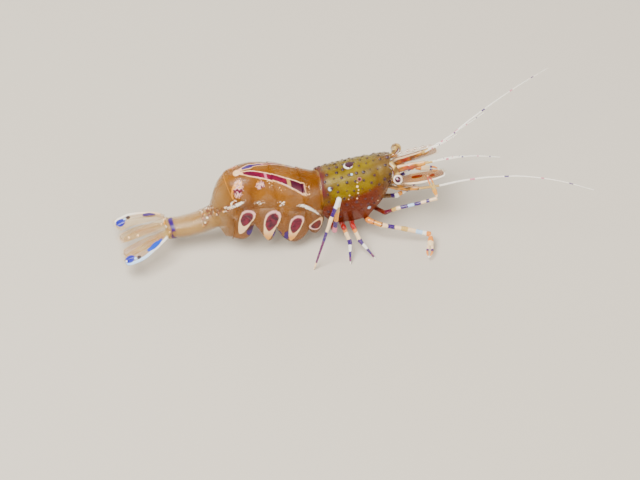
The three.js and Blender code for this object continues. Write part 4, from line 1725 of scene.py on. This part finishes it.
def tail_fan() -> list[Blade]:
    """The telson and the four uropods."""
    telson = ((-14.6, 0, 3.1, 0.62), (-15.5, 0, 2.95, 0.6), (-17.0, 0, 2.6, 0.44), (-18.4, 0, 2.2, 0.22))
    outer = ((-14.7, 0.9, 2.8, 0.3), (-15.5, 1.35, 2.72, 0.5), (-16.4, 1.72, 2.52, 0.62),
             (-17.4, 2.05, 2.26, 0.72), (-18.2, 2.1, 2.02, 0.68), (-18.75, 2.02, 1.88, 0.6))
    inner = ((-14.7, 0.4, 2.4, 0.25), (-15.6, 0.62, 2.22, 0.4), (-16.9, 0.8, 1.9, 0.52),
             (-18.0, 0.86, 1.6, 0.48), (-18.6, 0.9, 1.45, 0.4))
    outer_spots = (
        BladeSpot(0.85, 0.56, 0.13, 0.3, Tint.COBALT), BladeSpot(0.65, 0.72, 0.035, 0.12, Tint.INK),
        BladeSpot(0.715, 0.68, 0.03, 0.08, Tint.ICE))
    bands = {1: (BladeSpot(0.3, 0.72, 0.12, 0.16, Tint.VIOLET),),
             -1: (BladeSpot(0.34, 0.7, 0.15, 0.2, Tint.SKY), BladeSpot(0.95, 0.66, 0.028, 0.1, Tint.WHITE))}
    telson_spots = (
        BladeSpot(0.06, 0.2, 0.03, 0.13, Tint.WHITE), BladeSpot(0.09, 0.5, 0.03, 0.13, Tint.GOLD),
        BladeSpot(0.06, 0.8, 0.03, 0.13, Tint.CREAM), BladeSpot(0.2, 0.5, 0.025, 0.06, Tint.CREAM),
        BladeSpot(0.72, 0.3, 0.02, 0.12, Tint.CREAM), BladeSpot(0.9, 0.6, 0.02, 0.2, Tint.CREAM))
    middle = BladeFinish("telson_blade", telson_spots, clearness=0.16)
    blades = [Blade("telson_blade", "telson", telson, middle, keel=0.02, fringe=(0.85, 0.85, 0.5))]
    for name, side in SIDES:
        edge = (Tint.CREAM, Tint.WHITE) if side > 0 else (Tint.WHITE, Tint.ICE)
        edged = BladeFinish(f"fan_outer_{name}", (*outer_spots, *bands[side]), edge, 0.17)
        plain = BladeFinish(f"fan_inner_{name}")
        blades.append(Blade(edged.name, f"uropod_outer_{name}", outer, edged, side, fringe=(0.3, 0.88, 0.4)))
        blades.append(Blade(plain.name, f"uropod_inner_{name}", inner, plain, side, fringe=(0.3, 0.35, 0.5)))
    return blades


# ---- limbs ----


def banding(*stops: Any) -> Bands:
    """Bands from colours and the shares between them, the first of which begins at 0."""
    return tuple(zip((0.0, *stops[1::2]), stops[::2]))


LEG_BANDS = banding(
    Tint.BRICK, 0.22, Tint.CRIMSON, 0.45, Tint.ORANGE, 0.5, Tint.CREAM, 0.62, Tint.VIOLET, 0.7, Tint.WHITE,
    0.8, Tint.VIOLET, 0.88, Tint.MAUVE, 0.95, Tint.WHITE)
KNEE_LEG_BANDS = banding(
    Tint.BRICK, 0.14, Tint.RUST, 0.19, Tint.ROSE, 0.235, Tint.VIOLET, 0.29, Tint.GOLD, 0.37, Tint.SAND,
    0.42, Tint.WHITE, 0.54, Tint.VIOLET, 0.6, Tint.CREAM, 0.71, Tint.VIOLET, 0.78, Tint.MAUVE,
    0.94, Tint.CREAM)
LONG_CLAW_BANDS = banding(
    Tint.BRICK, 0.21, Tint.ORANGE, 0.3, Tint.BRICK, 0.315, Tint.GOLD, 0.395, Tint.BRICK, 0.41, Tint.CREAM,
    0.475, Tint.VIOLET, 0.56, Tint.CREAM, 0.64, Tint.SAND, 0.72, Tint.CREAM, 0.82, Tint.ICE,
    0.9, Tint.WHITE, 0.95, Tint.ORANGE)
SHORT_CLAW_BANDS = banding(
    Tint.BRICK, 0.3, Tint.PLUM, 0.4, Tint.SAND, 0.47, Tint.CREAM, 0.52, Tint.VIOLET, 0.62, Tint.ICE,
    0.7, Tint.VIOLET, 0.79, Tint.CREAM, 0.86, Tint.VIOLET, 0.91, Tint.CREAM)
CLAW_BANDS = banding(
    Tint.CREAM, 0.1, Tint.ORANGE, 0.32, Tint.CREAM, 0.6, Tint.VIOLET, 0.7, Tint.ORANGE, 0.93, Tint.WHITE)
SMALL_CLAW_BANDS = banding(
    Tint.CREAM, 0.12, Tint.GOLD, 0.4, Tint.SAND, 0.62, Tint.ORANGE, 0.78, Tint.CRIMSON, 0.95, Tint.CREAM)
JAW_BANDS = banding(
    Tint.SMOKE, 0.25, Tint.VIOLET, 0.35, Tint.WHITE, 0.45, Tint.GOLD, 0.55, Tint.WHITE, 0.65, Tint.VIOLET,
    0.78, Tint.WHITE, 0.88, Tint.VIOLET)
LEG_RADII = (0.27, 0.22, 0.2, 0.18, 0.14, 0.1)      # from the hip to the last joint but one
LEG_TIP_RADII = (0.085, 0.035)
SHORT_ARM_RADII = (0.2, 0.19, 0.17, 0.15, 0.16)
LONG_ARM_RADII = (0.26, 0.23, 0.2, 0.2, 0.21)


@dataclass(frozen=True)
class Limb:
    """A jointed limb: its joints, its thickness at each joint and its bands."""

    name: str
    node: str
    joints: tuple[Vector, ...]
    radii: tuple[float, ...]
    bands: Bands
    knuckle: float = 0.16       # how much thicker it is at a joint
    flat: float = 1.0           # its width in shares of its height
    step: float = 0.07

    def build(self) -> Piece:
        """Makes the limb as one tube, thicker at its joints."""
        path = smooth_path(self.joints, self.step, 2)
        marks = path_lengths(self.joints)
        lengths = path_lengths(path)
        scale = marks[-1] / lengths[-1]
        stations = []
        for place, length in zip(path, lengths):
            length *= scale
            index = max(k for k in range(len(marks) - 1) if k == 0 or marks[k] <= length)
            share = clamp((length - marks[index]) / (marks[index + 1] - marks[index]))
            radius = lerp(self.radii[index], self.radii[index + 1], share)
            edge = min(length - marks[index], marks[index + 1] - length)
            if 0 < index or share > 0.5:
                radius *= 1 + self.knuckle * hill(edge, 0.0, 1.3 * radius) - 0.05
            stations.append(Station(place, radius * self.flat, radius))
        return tube(self.name, stations, self._hint(), 20)

    def _hint(self) -> Vector:
        """A direction across the first length of the limb."""
        first = (self.joints[1] - self.joints[0]).normalized()
        return Vector((0, 0, 1)) if abs(first.z) < 0.8 else Vector((1, 0, 0))

    def dress(self, piece: Piece) -> None:
        """Finishes the limb."""
        length = path_lengths(self.joints)[-1]
        dress(piece, BandedFinish(self.name, length, self.bands).material(), "banded_leg", self.node)


def points(*triples: Triple) -> tuple[Vector, ...]:
    """Layout points from their coordinates."""
    return tuple(Vector(triple) for triple in triples)


def walking_legs() -> list[Limb]:
    """The six walking legs."""
    routes = {
        "3_right": points((1.15, -0.6, 1.9), (1.05, -1.9, 1.78), (0.9, -2.85, 2.35), (1.3, -3.75, 1.35),
                          (2.25, -4.8, 0.25), (2.42, -5.02, 0.06)),
        "4_right": points((0.3, -0.6, 1.9), (0.2, -1.9, 1.78), (0.1, -2.8, 2.35), (0.45, -3.75, 1.35),
                          (0.22, -4.9, 0.25), (0.2, -5.1, 0.06)),
        "5_right": points((-0.5, -0.6, 1.9), (-0.62, -2.3, 1.72), (-0.75, -3.1, 2.4), (-0.35, -3.05, 6.25),
                          (-1.25, -3.8, 4.6), (-2.85, -4.9, 0.38), (-3.0, -5.0, 0.06)),
        "3_left": points((1.15, 0.6, 1.9), (1.35, 2.2, 1.83), (2.0, 3.3, 3.35), (3.3, 4.5, 1.9),
                         (4.02, 5.05, 0.25), (4.1, 5.1, 0.06)),
        "4_left": points((0.3, 0.6, 1.9), (0.22, 2.3, 1.83), (-0.2, 3.3, 3.35), (-0.6, 4.7, 1.9),
                         (-0.78, 5.25, 0.25), (-0.8, 5.3, 0.06)),
        "5_left": points((-0.5, 0.6, 1.9), (-0.85, 2.4, 1.83), (-1.9, 3.3, 3.35), (-4.3, 4.2, 1.9),
                         (-5.5, 4.67, 0.25), (-5.6, 4.7, 0.06)),
    }
    legs = []
    for name, joints in routes.items():
        bands = KNEE_LEG_BANDS if name == "5_right" else LEG_BANDS
        last = len(joints) - 1
        radii = (*(spline(LEG_RADII, k / last) for k in range(last - 1)), *LEG_TIP_RADII)
        legs.append(Limb(f"leg_{name}", f"walking_leg_{name}", joints, radii, bands))
    return legs


def claw_arms() -> list[Limb]:
    """The arms of both pairs of clawed legs, and the outer jaws."""
    routes = {
        "1_right": points((2.9, -0.6, 2.1), (3.9, -2.15, 2.5), (4.9, -2.6, 3.3), (6.6, -2.95, 3.85),
                          (8.15, -3.15, 4.32)),
        "1_left": points((2.9, 0.6, 2.1), (3.9, 2.1, 2.3), (5.2, 2.5, 2.3), (6.5, 2.6, 2.45),
                         (7.58, 2.58, 2.75)),
        "2_right": points((2.0, -0.6, 1.9), (2.45, -2.2, 1.95), (3.44, -2.9, 1.85), (5.4, -3.5, 1.5),
                          (7.4, -4.15, 1.05)),
        "2_left": points((2.0, 0.6, 1.9), (2.5, 2.3, 1.9), (3.6, 3.0, 1.9), (5.8, 3.4, 1.6),
                         (7.75, 3.5, 1.35)),
    }
    limbs = []
    for name, joints in routes.items():
        looks = (SHORT_ARM_RADII, SHORT_CLAW_BANDS) if name[0] == "1" else (LONG_ARM_RADII, LONG_CLAW_BANDS)
        limbs.append(Limb(f"arm_{name}", f"claw_leg_{name}", joints, *looks))
    for name, side in SIDES:
        joints = points((4.0, side * 0.45, 2.8), (5.2, side * 0.95, 3.1), (6.2, side * 0.9, 3.6),
                        (7.0, side * 0.85, 4.2))
        limbs.append(Limb(f"outer_jaw_{name}", f"maxilliped_{name}", joints, (0.24, 0.22, 0.18, 0.06),
                          JAW_BANDS, flat=0.75))
    return limbs


@dataclass(frozen=True)
class Claw:
    """A claw with a fixed and a moving finger."""

    name: str
    node: str
    wrist: Vector
    middle: Vector
    tip: Vector
    girth: float
    spread: Vector              # the direction in which the fingers open
    steps: int = 20
    sides: int = 20
    flat: float = 0.8

    def build(self) -> Piece:
        """Makes the palm and both fingers as one closed piece each, joined."""
        along = (self.tip - self.wrist).normalized()
        out = self.spread.normalized()
        palm_end = self.wrist.lerp(self.middle, 1.05)
        palm = self._tube("palm", (self.wrist - along * 0.08, self.wrist.lerp(palm_end, 0.5), palm_end),
                          (0.5, 0.98, 0.92), out)
        fingers = []
        for sign, reach in ((1, 0.97), (-1, 1.0)):
            root = palm_end - along * 0.18 + out * (sign * self.girth * 0.42)
            bend = palm_end.lerp(self.tip, 0.5) + out * (sign * self.girth * 0.78)
            end = palm_end.lerp(self.tip, reach) + out * (sign * 0.02)
            fingers.append(self._tube("finger", (root, bend, end), (0.5, 0.36, 0.1), out))
        return join(self.name, [palm, *fingers])

    def _tube(self, name: str, route: Sequence[Vector], shares: Sequence[float],
              out: Vector) -> Piece:
        """Makes a curved, tapering length.

        Args:
            name: Its name until it is joined.
            route: The stops that it passes through.
            shares: Its radius at each stop, in shares of the claw's girth.
            out: The direction across the claw.

        Returns:
            The length, with its bands measured from the wrist.
        """
        stations = []
        for k in range(self.steps + 1):
            share = k / self.steps
            radius = self.girth * spline(shares, share)
            stations.append(Station(Vector(row_at(route, share)), radius * self.flat, radius))
        made = tube(name, stations, out, self.sides)
        for loop in made.data.uv_layers[UV_LENGTH].data:
            loop.uv.x += (route[0] - self.wrist).length / UV_LENGTH_UNIT
        return made

    def dress(self, piece: Piece) -> None:
        """Finishes the claw."""
        length = (self.tip - self.wrist).length
        bands = SMALL_CLAW_BANDS if "_1_" in self.name else CLAW_BANDS
        dress(piece, BandedFinish(self.name, length, bands).material(), "claw", self.node)


def claws() -> list[Claw]:
    """The four claws."""
    tables = {
        "1_right": ((8.2, -2.98, 4.5), (7.99, -2.6, 5.2), (7.62, -2.0, 6.16), 0.2, (1, 0.2, 0)),
        "1_left": ((7.66, 2.4, 2.95), (7.6, 1.9, 3.45), (7.5, 1.38, 3.92), 0.2, (1, 0, 0.3)),
        "2_right": ((7.42, -4.35, 0.98), (7.2, -5.15, 0.75), (6.8, -6.27, 0.47), 0.27, (1, -0.3, 0)),
        "2_left": ((7.92, 3.47, 1.32), (9.0, 3.3, 1.2), (10.07, 3.0, 1.06), 0.27, (0.2, 1, 0)),
    }
    made = []
    for name, (wrist, middle, tip, girth, spread) in tables.items():
        made.append(Claw(f"claw_{name}_fingers", f"claw_{name}", *points(wrist, middle, tip), girth,
                         Vector(spread)))
    return made


# ---- feelers ----


FEELER_BANDS = banding(
    Tint.SAND, 0.12, Tint.WHITE, 0.3, Tint.ROSE, 0.33, Tint.WHITE, 0.5, Tint.VIOLET, 0.52, Tint.WHITE,
    0.7, Tint.ROSE, 0.72, Tint.WHITE, 0.86, Tint.VIOLET, 0.88, Tint.WHITE)


@dataclass(frozen=True)
class StemFinish:
    """The thick root of an antennule: smoky, with a red patch and a white stripe."""

    name: str
    red: Pair | None = None

    def material(self) -> Material:
        """Writes the material."""
        s = Sketch(self.name)
        u, around = s.uv(UV_LENGTH)
        ragged = s.noise(3.0, 3) - 0.5
        colour = s.mix(s.noise(1.5, 3).ramp(0.4, 0.6), Tint.SMOKE, Tint.GOLD)
        if self.red:
            patch = (u + ragged * 0.12).between(*self.red, 0.06) & s.noise(2.2, 3).ramp(0.36, 0.5)
            colour = s.mix(patch * 0.85, colour, Tint.CRIMSON)
        stripe = abs(around + ragged * 0.1 - 0.5).ramp(0.13, 0.08) & u.ramp(0.02, 0.04)
        colour = s.mix(stripe, colour, Tint.CREAM)
        colour = s.mix(s.cells(2.6).ramp(0.14, 0.1), colour, Tint.INK)
        return s.finish(colour, ragged * 0.1 + 0.22, s.noise(2.0) * 0.3 + 0.7, Coat_Weight=0.5,
                        Normal=s.bump(ragged, 0.2, 0.02))


@dataclass(frozen=True)
class Feeler:
    """A feeler: a jointed stem and one or two whips made of many rings."""

    name: str
    stem: tuple[Triple, ...]
    stem_radii: tuple[float, ...]
    whips: tuple[tuple[Triple, ...], ...]
    whip_radii: Pair
    side: int
    whip_steps: int = 420
    swelling: float = 0.09      # how much thicker a whip is at each ring
    ring_steps: float = 5.0     # how many steps lie from ring to ring

    def _mirror(self, stops: Sequence[Triple]) -> tuple[Vector, ...]:
        """The route on this feeler's side."""
        return tuple(Vector((x, y * self.side, z)) for x, y, z in stops)

    def build(self) -> list[Piece]:
        """Makes the stem and the whips."""
        route = self._mirror(self.stem)
        stem = Limb(f"{self.name}_stem", self.name, route, self.stem_radii, (), knuckle=0.12).build()
        return [stem, *(self._whip(k, self._mirror(route)) for k, route in enumerate(self.whips))]

    def _whip(self, number: int, route: Sequence[Vector]) -> Piece:
        """Makes one whip, with a small swelling at every ring."""
        stations = []
        for k in range(self.whip_steps + 1):
            share = k / self.whip_steps
            swelling = 1 + self.swelling * math.cos(2 * math.pi * k / self.ring_steps)
            radius = lerp(*self.whip_radii, share ** 0.8) * swelling
            stations.append(Station(Vector(row_at(route, share)), radius, radius))
        return tube(f"{self.name}_whip_{number + 1}", stations, Vector((0, 0, 1)), 10)

    def dress(self, pieces: list[Piece]) -> None:
        """Finishes the stem and the whips."""
        stem, *whips = pieces
        red = (0.12, 0.24) if self.name.startswith("antennule") else None
        dress(stem, StemFinish(stem.name, red).material(), "feeler", self.name)
        for whip, route in zip(whips, self.whips):
            length = path_lengths(self._mirror(route))[-1]
            dress(whip, BandedFinish(whip.name, length, FEELER_BANDS).material(), "feeler")


def feelers() -> list[Feeler]:
    """Both antennules and both antennae."""
    short_stem = ((4.55, 0.4, 5.7), (5.6, 0.43, 5.85), (6.7, 0.48, 6.0), (7.7, 0.58, 6.18))
    short_whips = (((7.62, 0.62, 6.18), (9.6, 1.05, 6.72), (11.6, 1.72, 7.3), (13.75, 2.68, 7.64)),
                   ((7.62, 0.52, 6.16), (8.6, 0.72, 6.4), (9.8, 0.9, 6.72), (11.0, 1.3, 7.02)))
    long_stem = ((4.5, 0.7, 4.45), (5.3, 1.1, 4.38), (6.0, 1.45, 4.38), (6.9, 1.78, 4.45))
    long_whips = (((6.85, 1.78, 4.45), (8.6, 2.0, 4.6), (10.4, 2.5, 5.28), (12.6, 3.4, 6.15),
                   (15.4, 4.6, 6.85), (18.2, 6.0, 7.05), (20.75, 7.4, 6.8)),)
    made = []
    for name, side in SIDES:
        made.append(Feeler(f"antennule_{name}", short_stem, (0.32, 0.31, 0.27, 0.2), short_whips,
                           (0.1, 0.035), side))
        made.append(Feeler(f"antenna_{name}", long_stem, (0.34, 0.33, 0.26, 0.17), long_whips,
                           (0.12, 0.035), side))
    return made


@dataclass(frozen=True)
class AntennalScale:
    """The clear blade beside an antenna's root, with bristles along its inner edge."""

    name: str
    side: int
    stations: tuple[Row, ...] = (
        (4.75, 0.95, 5.05, 0.28), (5.7, 1.2, 5.16, 0.48), (6.9, 1.37, 5.28, 0.62),
        (8.1, 1.42, 5.38, 0.56), (8.9, 1.42, 5.45, 0.44), (9.2, 1.42, 5.47, 0.36))
    round_from: float = 0.88
    tooth: float = 0.12         # how far the outer corner stands forward
    rib: float = 0.04
    arch: float = 0.06
    fringe_steps: int = 30

    def surface(self, u: float, v: float) -> Vector:
        """A point on the upper face, u from root to tip and v from the inner to the outer edge."""
        x, off, z, half = row_at(self.stations, u)
        way = 2 * v - 1
        tooth = self.tooth * smooth(0.86, 0.98, u) * smooth(0.7, 1.0, way)
        rib = self.rib * hill(way, 0.82, 0.1)
        y = self.side * (off + half * max(round_tip(u, self.round_from), 0.03) * way)
        return Vector((x + tooth, y, z + self.arch * (1 - way * way) + rib))

    def build(self) -> list[Piece]:
        """Makes the blade and its bristles."""
        blade = thick_sheet(f"scale_{self.name}", self.surface, self._thickness, (40, 28))
        rim = []
        for k in range(self.fringe_steps + 1):
            u = lerp(0.3, 0.995, k / self.fringe_steps)
            here = self.surface(u, 0.0)
            rim.append((here + Vector((0, self.side * 0.04, 0)), Vector((0.9 + u, -self.side, 0.1))))
        return [blade, bristles(blade.name, [rim], 0.42, 0.075, 0.016, 7)]

    def _thickness(self, u: float, v: float) -> float:
        """Thicker in the middle and at the root."""
        way = 2 * v - 1
        return 0.05 + 0.07 * (1 - way * way) * (1 - 0.7 * u)

    def dress(self, pieces: list[Piece]) -> None:
        """Finishes the blade and its bristles."""
        blade, fringe = pieces
        spots = (BladeSpot(0.4, 0.35, 0.08, 0.12, Tint.BRICK), BladeSpot(0.62, 0.5, 0.05, 0.12, Tint.RUST))
        finish = BladeFinish(blade.name, spots, (Tint.CREAM, Tint.WHITE), 0.12, 0.42,
                             (Tint.AMBER, Tint.DEEP_AMBER), Tint.INK)
        dress(blade, finish.material(), "clear_shell", f"antennal_scale_{self.name}")
        dress(fringe, None, "clear_shell")


# ---- swimmerets ----


@dataclass(frozen=True)
class Swimmeret:
    """A two-branched paddle under the tail."""

    number: int
    name: str
    side: int
    root: Vector
    foot: Vector

    @staticmethod
    def under(ring: AbdomenRing, name: str, side: int) -> "Swimmeret":
        """The swimmeret that hangs under a ring."""
        top, down, _ = ring.axis(0.5)
        tilt = math.radians(ring.tilts[1])
        root = top + down * (ring.sternum + 0.1 + 0.95 * math.sin(tilt) - 0.25)
        root.y = side * 0.42 * (ring.half_widths[1] - 0.5)
        length = min(root.z - 0.85, 2.2)
        lean = 0.5 - 1.2 * math.sin(tilt)
        return Swimmeret(ring.number, name, side, root, root + Vector((-lean, side * 0.1, -length)))

    def build(self) -> list[Piece]:
        """Makes the stem with its two blades, and their bristles."""
        knee = self.root.lerp(self.foot, 0.42)
        stations = []
        for k in range(9):
            share = k / 8
            width = lerp(0.3, 0.24, share)
            stations.append(Station(self.root.lerp(knee, share), width * 0.75, width))
        pieces = [tube("stem", stations, Vector((1, 0, 0)), 16)]
        margins = []
        for way, reach in ((1, 1.0), (-1, 0.86)):
            tip = knee.lerp(self.foot, reach) + Vector((0.16 * way, self.side * 0.12 * way, 0))
            stations, left, right = [], [], []
            for k in range(17):
                share = k / 16
                place = knee.lerp(tip, share) + Vector((0.1 * way * math.sin(math.pi * share), 0, 0))
                width = 0.27 * math.sin(math.pi * clamp(0.12 + 0.86 * share)) ** 0.6 + 0.02
                stations.append(Station(place, width * 0.28, width))
                if share > 0.25:
                    left.append((place + Vector((width, 0, 0)), Vector((0.7, 0, -0.8))))
                    right.append((place - Vector((width, 0, 0)), Vector((-0.7, 0, -0.8))))
            pieces.append(tube("blade", stations, Vector((1, 0, 0)), 16))
            margins += [left, right]
        paddle = join(f"paddle_{self.number}_{self.name}", pieces)
        return [paddle, bristles(paddle.name, margins, 0.32, 0.07, 0.013, 9, 0.5)]

    def dress(self, pieces: list[Piece]) -> None:
        """Finishes the paddle and its bristles."""
        paddle, fringe = pieces
        finish = PlainFinish(paddle.name, Tint.AMBER, Tint.CREAM, 1.6, 0.25, 0.55)
        dress(paddle, finish.material(), "swimmeret", f"swimmeret_{self.number}_{self.name}")
        dress(fringe, None, "swimmeret")


# ---- the whole animal ----


def abdomen() -> list[AbdomenRing]:
    """The five overlapping rings, with their marks; a mark at a seam is on both rings."""
    chevron = Chevron()
    first = Teardrop(-2.02, 2.5, 0.37, 0.54, 1.42, 1.05, Tint.WINE, 0.3, 0.4)
    second = Teardrop(-4.05, 2.72, -0.29, -0.96, 2.8, 1.1, Tint.MAGENTA, 0.72)
    third = Teardrop(-6.15, 3.42, -0.22, -0.98, 3.6, 1.2)
    fourth = Teardrop(-8.28, 4.1, -0.28, -0.96, 3.15, 1.05, gilt=0.15)
    wedges = (Teardrop(-4.74, 2.05, -0.4, -1, 1.15, 0.62), Teardrop(-5.66, 2.2, -0.3, -1, 1.2, 0.72),
              Teardrop(-7.72, 2.98, -0.9, -1, 1.3, 0.95))
    comma = Streak(-2.75, 4.66, 0.86, 0.17, -0.92, -0.36)
    rear = Streak(-9.05, 6.2, 0.7, 0.17, 0.62)
    return [
        AbdomenRing(1, (-1.45, -2.25, -3.0), (6.2, 6.4, 6.75), (0, 0, 0), (1.95, 2.1, 2.15),
                    2.25, 3.3, 5.0, 0.12, ShellFinish("shell_ring_1", (first,), (comma,), chevron=chevron)),
        AbdomenRing(2, (-3.09, -4.3, -5.5), (6.8, 7.45, 7.98), (0, 0, 3), (2.15, 2.25, 2.2),
                    2.35, 3.7, 6.22, 0.3, ShellFinish(
                        "shell_ring_2", (second, third), (comma, Streak(-5.2, 5.93, 0.34, 0.22)),
                        wedges[:2], (), (Streak(-4.85, 7.1, 0.5, 0.22), Streak(-3.6, 4.26, 0.5, 0.17)),
                        chevron), spread=0.9),
        AbdomenRing(3, (-5.59, -7.6, -9.4), (8.01, 8.42, 7.95), (3, 10, 20), (2.2, 2.15, 1.95),
                    2.35, 3.95, 6.85, 0.28, ShellFinish(
                        "shell_ring_3", (third, fourth), (rear, Streak(-7.03, 6.37, 0.36, 0.24)), wedges[1:],
                        (Streak(-8.7, 7.55, 0.36, 0.42, 0.5), Streak(-6.8, 7.74, 0.36, 0.2)),
                        (Streak(-6.15, 7.65, 0.5, 0.2), Streak(-6.0, 5.08, 0.6, 0.17)), chevron,
                        gilded=True), spread=-0.6, sweep=-0.1),
        AbdomenRing(4, (-9.49, -10.2, -10.55), (7.9, 6.97, 5.97), (20, 31, 42), (1.93, 1.8, 1.62),
                    1.9, 3.05, 5.1, 0.2, ShellFinish(
                        "shell_ring_4", (fourth,), (rear,), wedges[2:], chain=True), spread=2.4, sweep=0.4),
        AbdomenRing(5, (-10.62, -10.8, -10.98), (5.87, 5.03, 4.28), (42, 38, 32), (1.6, 1.45, 1.2),
                    1.4, 2.3, 3.3, 0.15, ShellFinish("shell_ring_5", chain=True), sweep=0.2),
    ]


def eyes() -> list[Eye]:
    """Both eyes."""
    right = points((4.75, -0.35, 6.5), (5.0, -0.75, 6.42), (5.05, -1.36, 6.25))
    left = points((4.75, 0.35, 6.5), (5.15, 0.7, 6.38), (5.5, 1.25, 6.16))
    return [Eye("right", right, Vector((5.05, -1.88, 6.12)), 0.68),
            Eye("left", left, Vector((5.78, 1.8, 6.0)))]


def shrimp() -> None:
    """Makes and dresses every part of the animal."""
    rings = abdomen()
    barrel = LastRing()
    flesh = Flesh()
    flesh.dress(flesh.build(rings, barrel))
    parts = [*rings, barrel, Carapace(), *eyes(), *tail_fan(), *walking_legs(), *claw_arms(), *claws(),
             *feelers(), *(AntennalScale(name, side) for name, side in SIDES)]
    parts += [Swimmeret.under(ring, name, side) for ring in rings for name, side in SIDES]
    for part in parts:
        part.dress(part.build())


def main() -> None:
    """Builds the studio and the animal."""
    logging.basicConfig(level=logging.INFO, format="%(message)s")
    Studio().build()
    shrimp()
    boxes = {"cad": CAD_BOX, "visual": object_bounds()}
    {name: [list(corner) for corner in box] for name, box in boxes.items()}


if __name__ == "__main__":
    main()
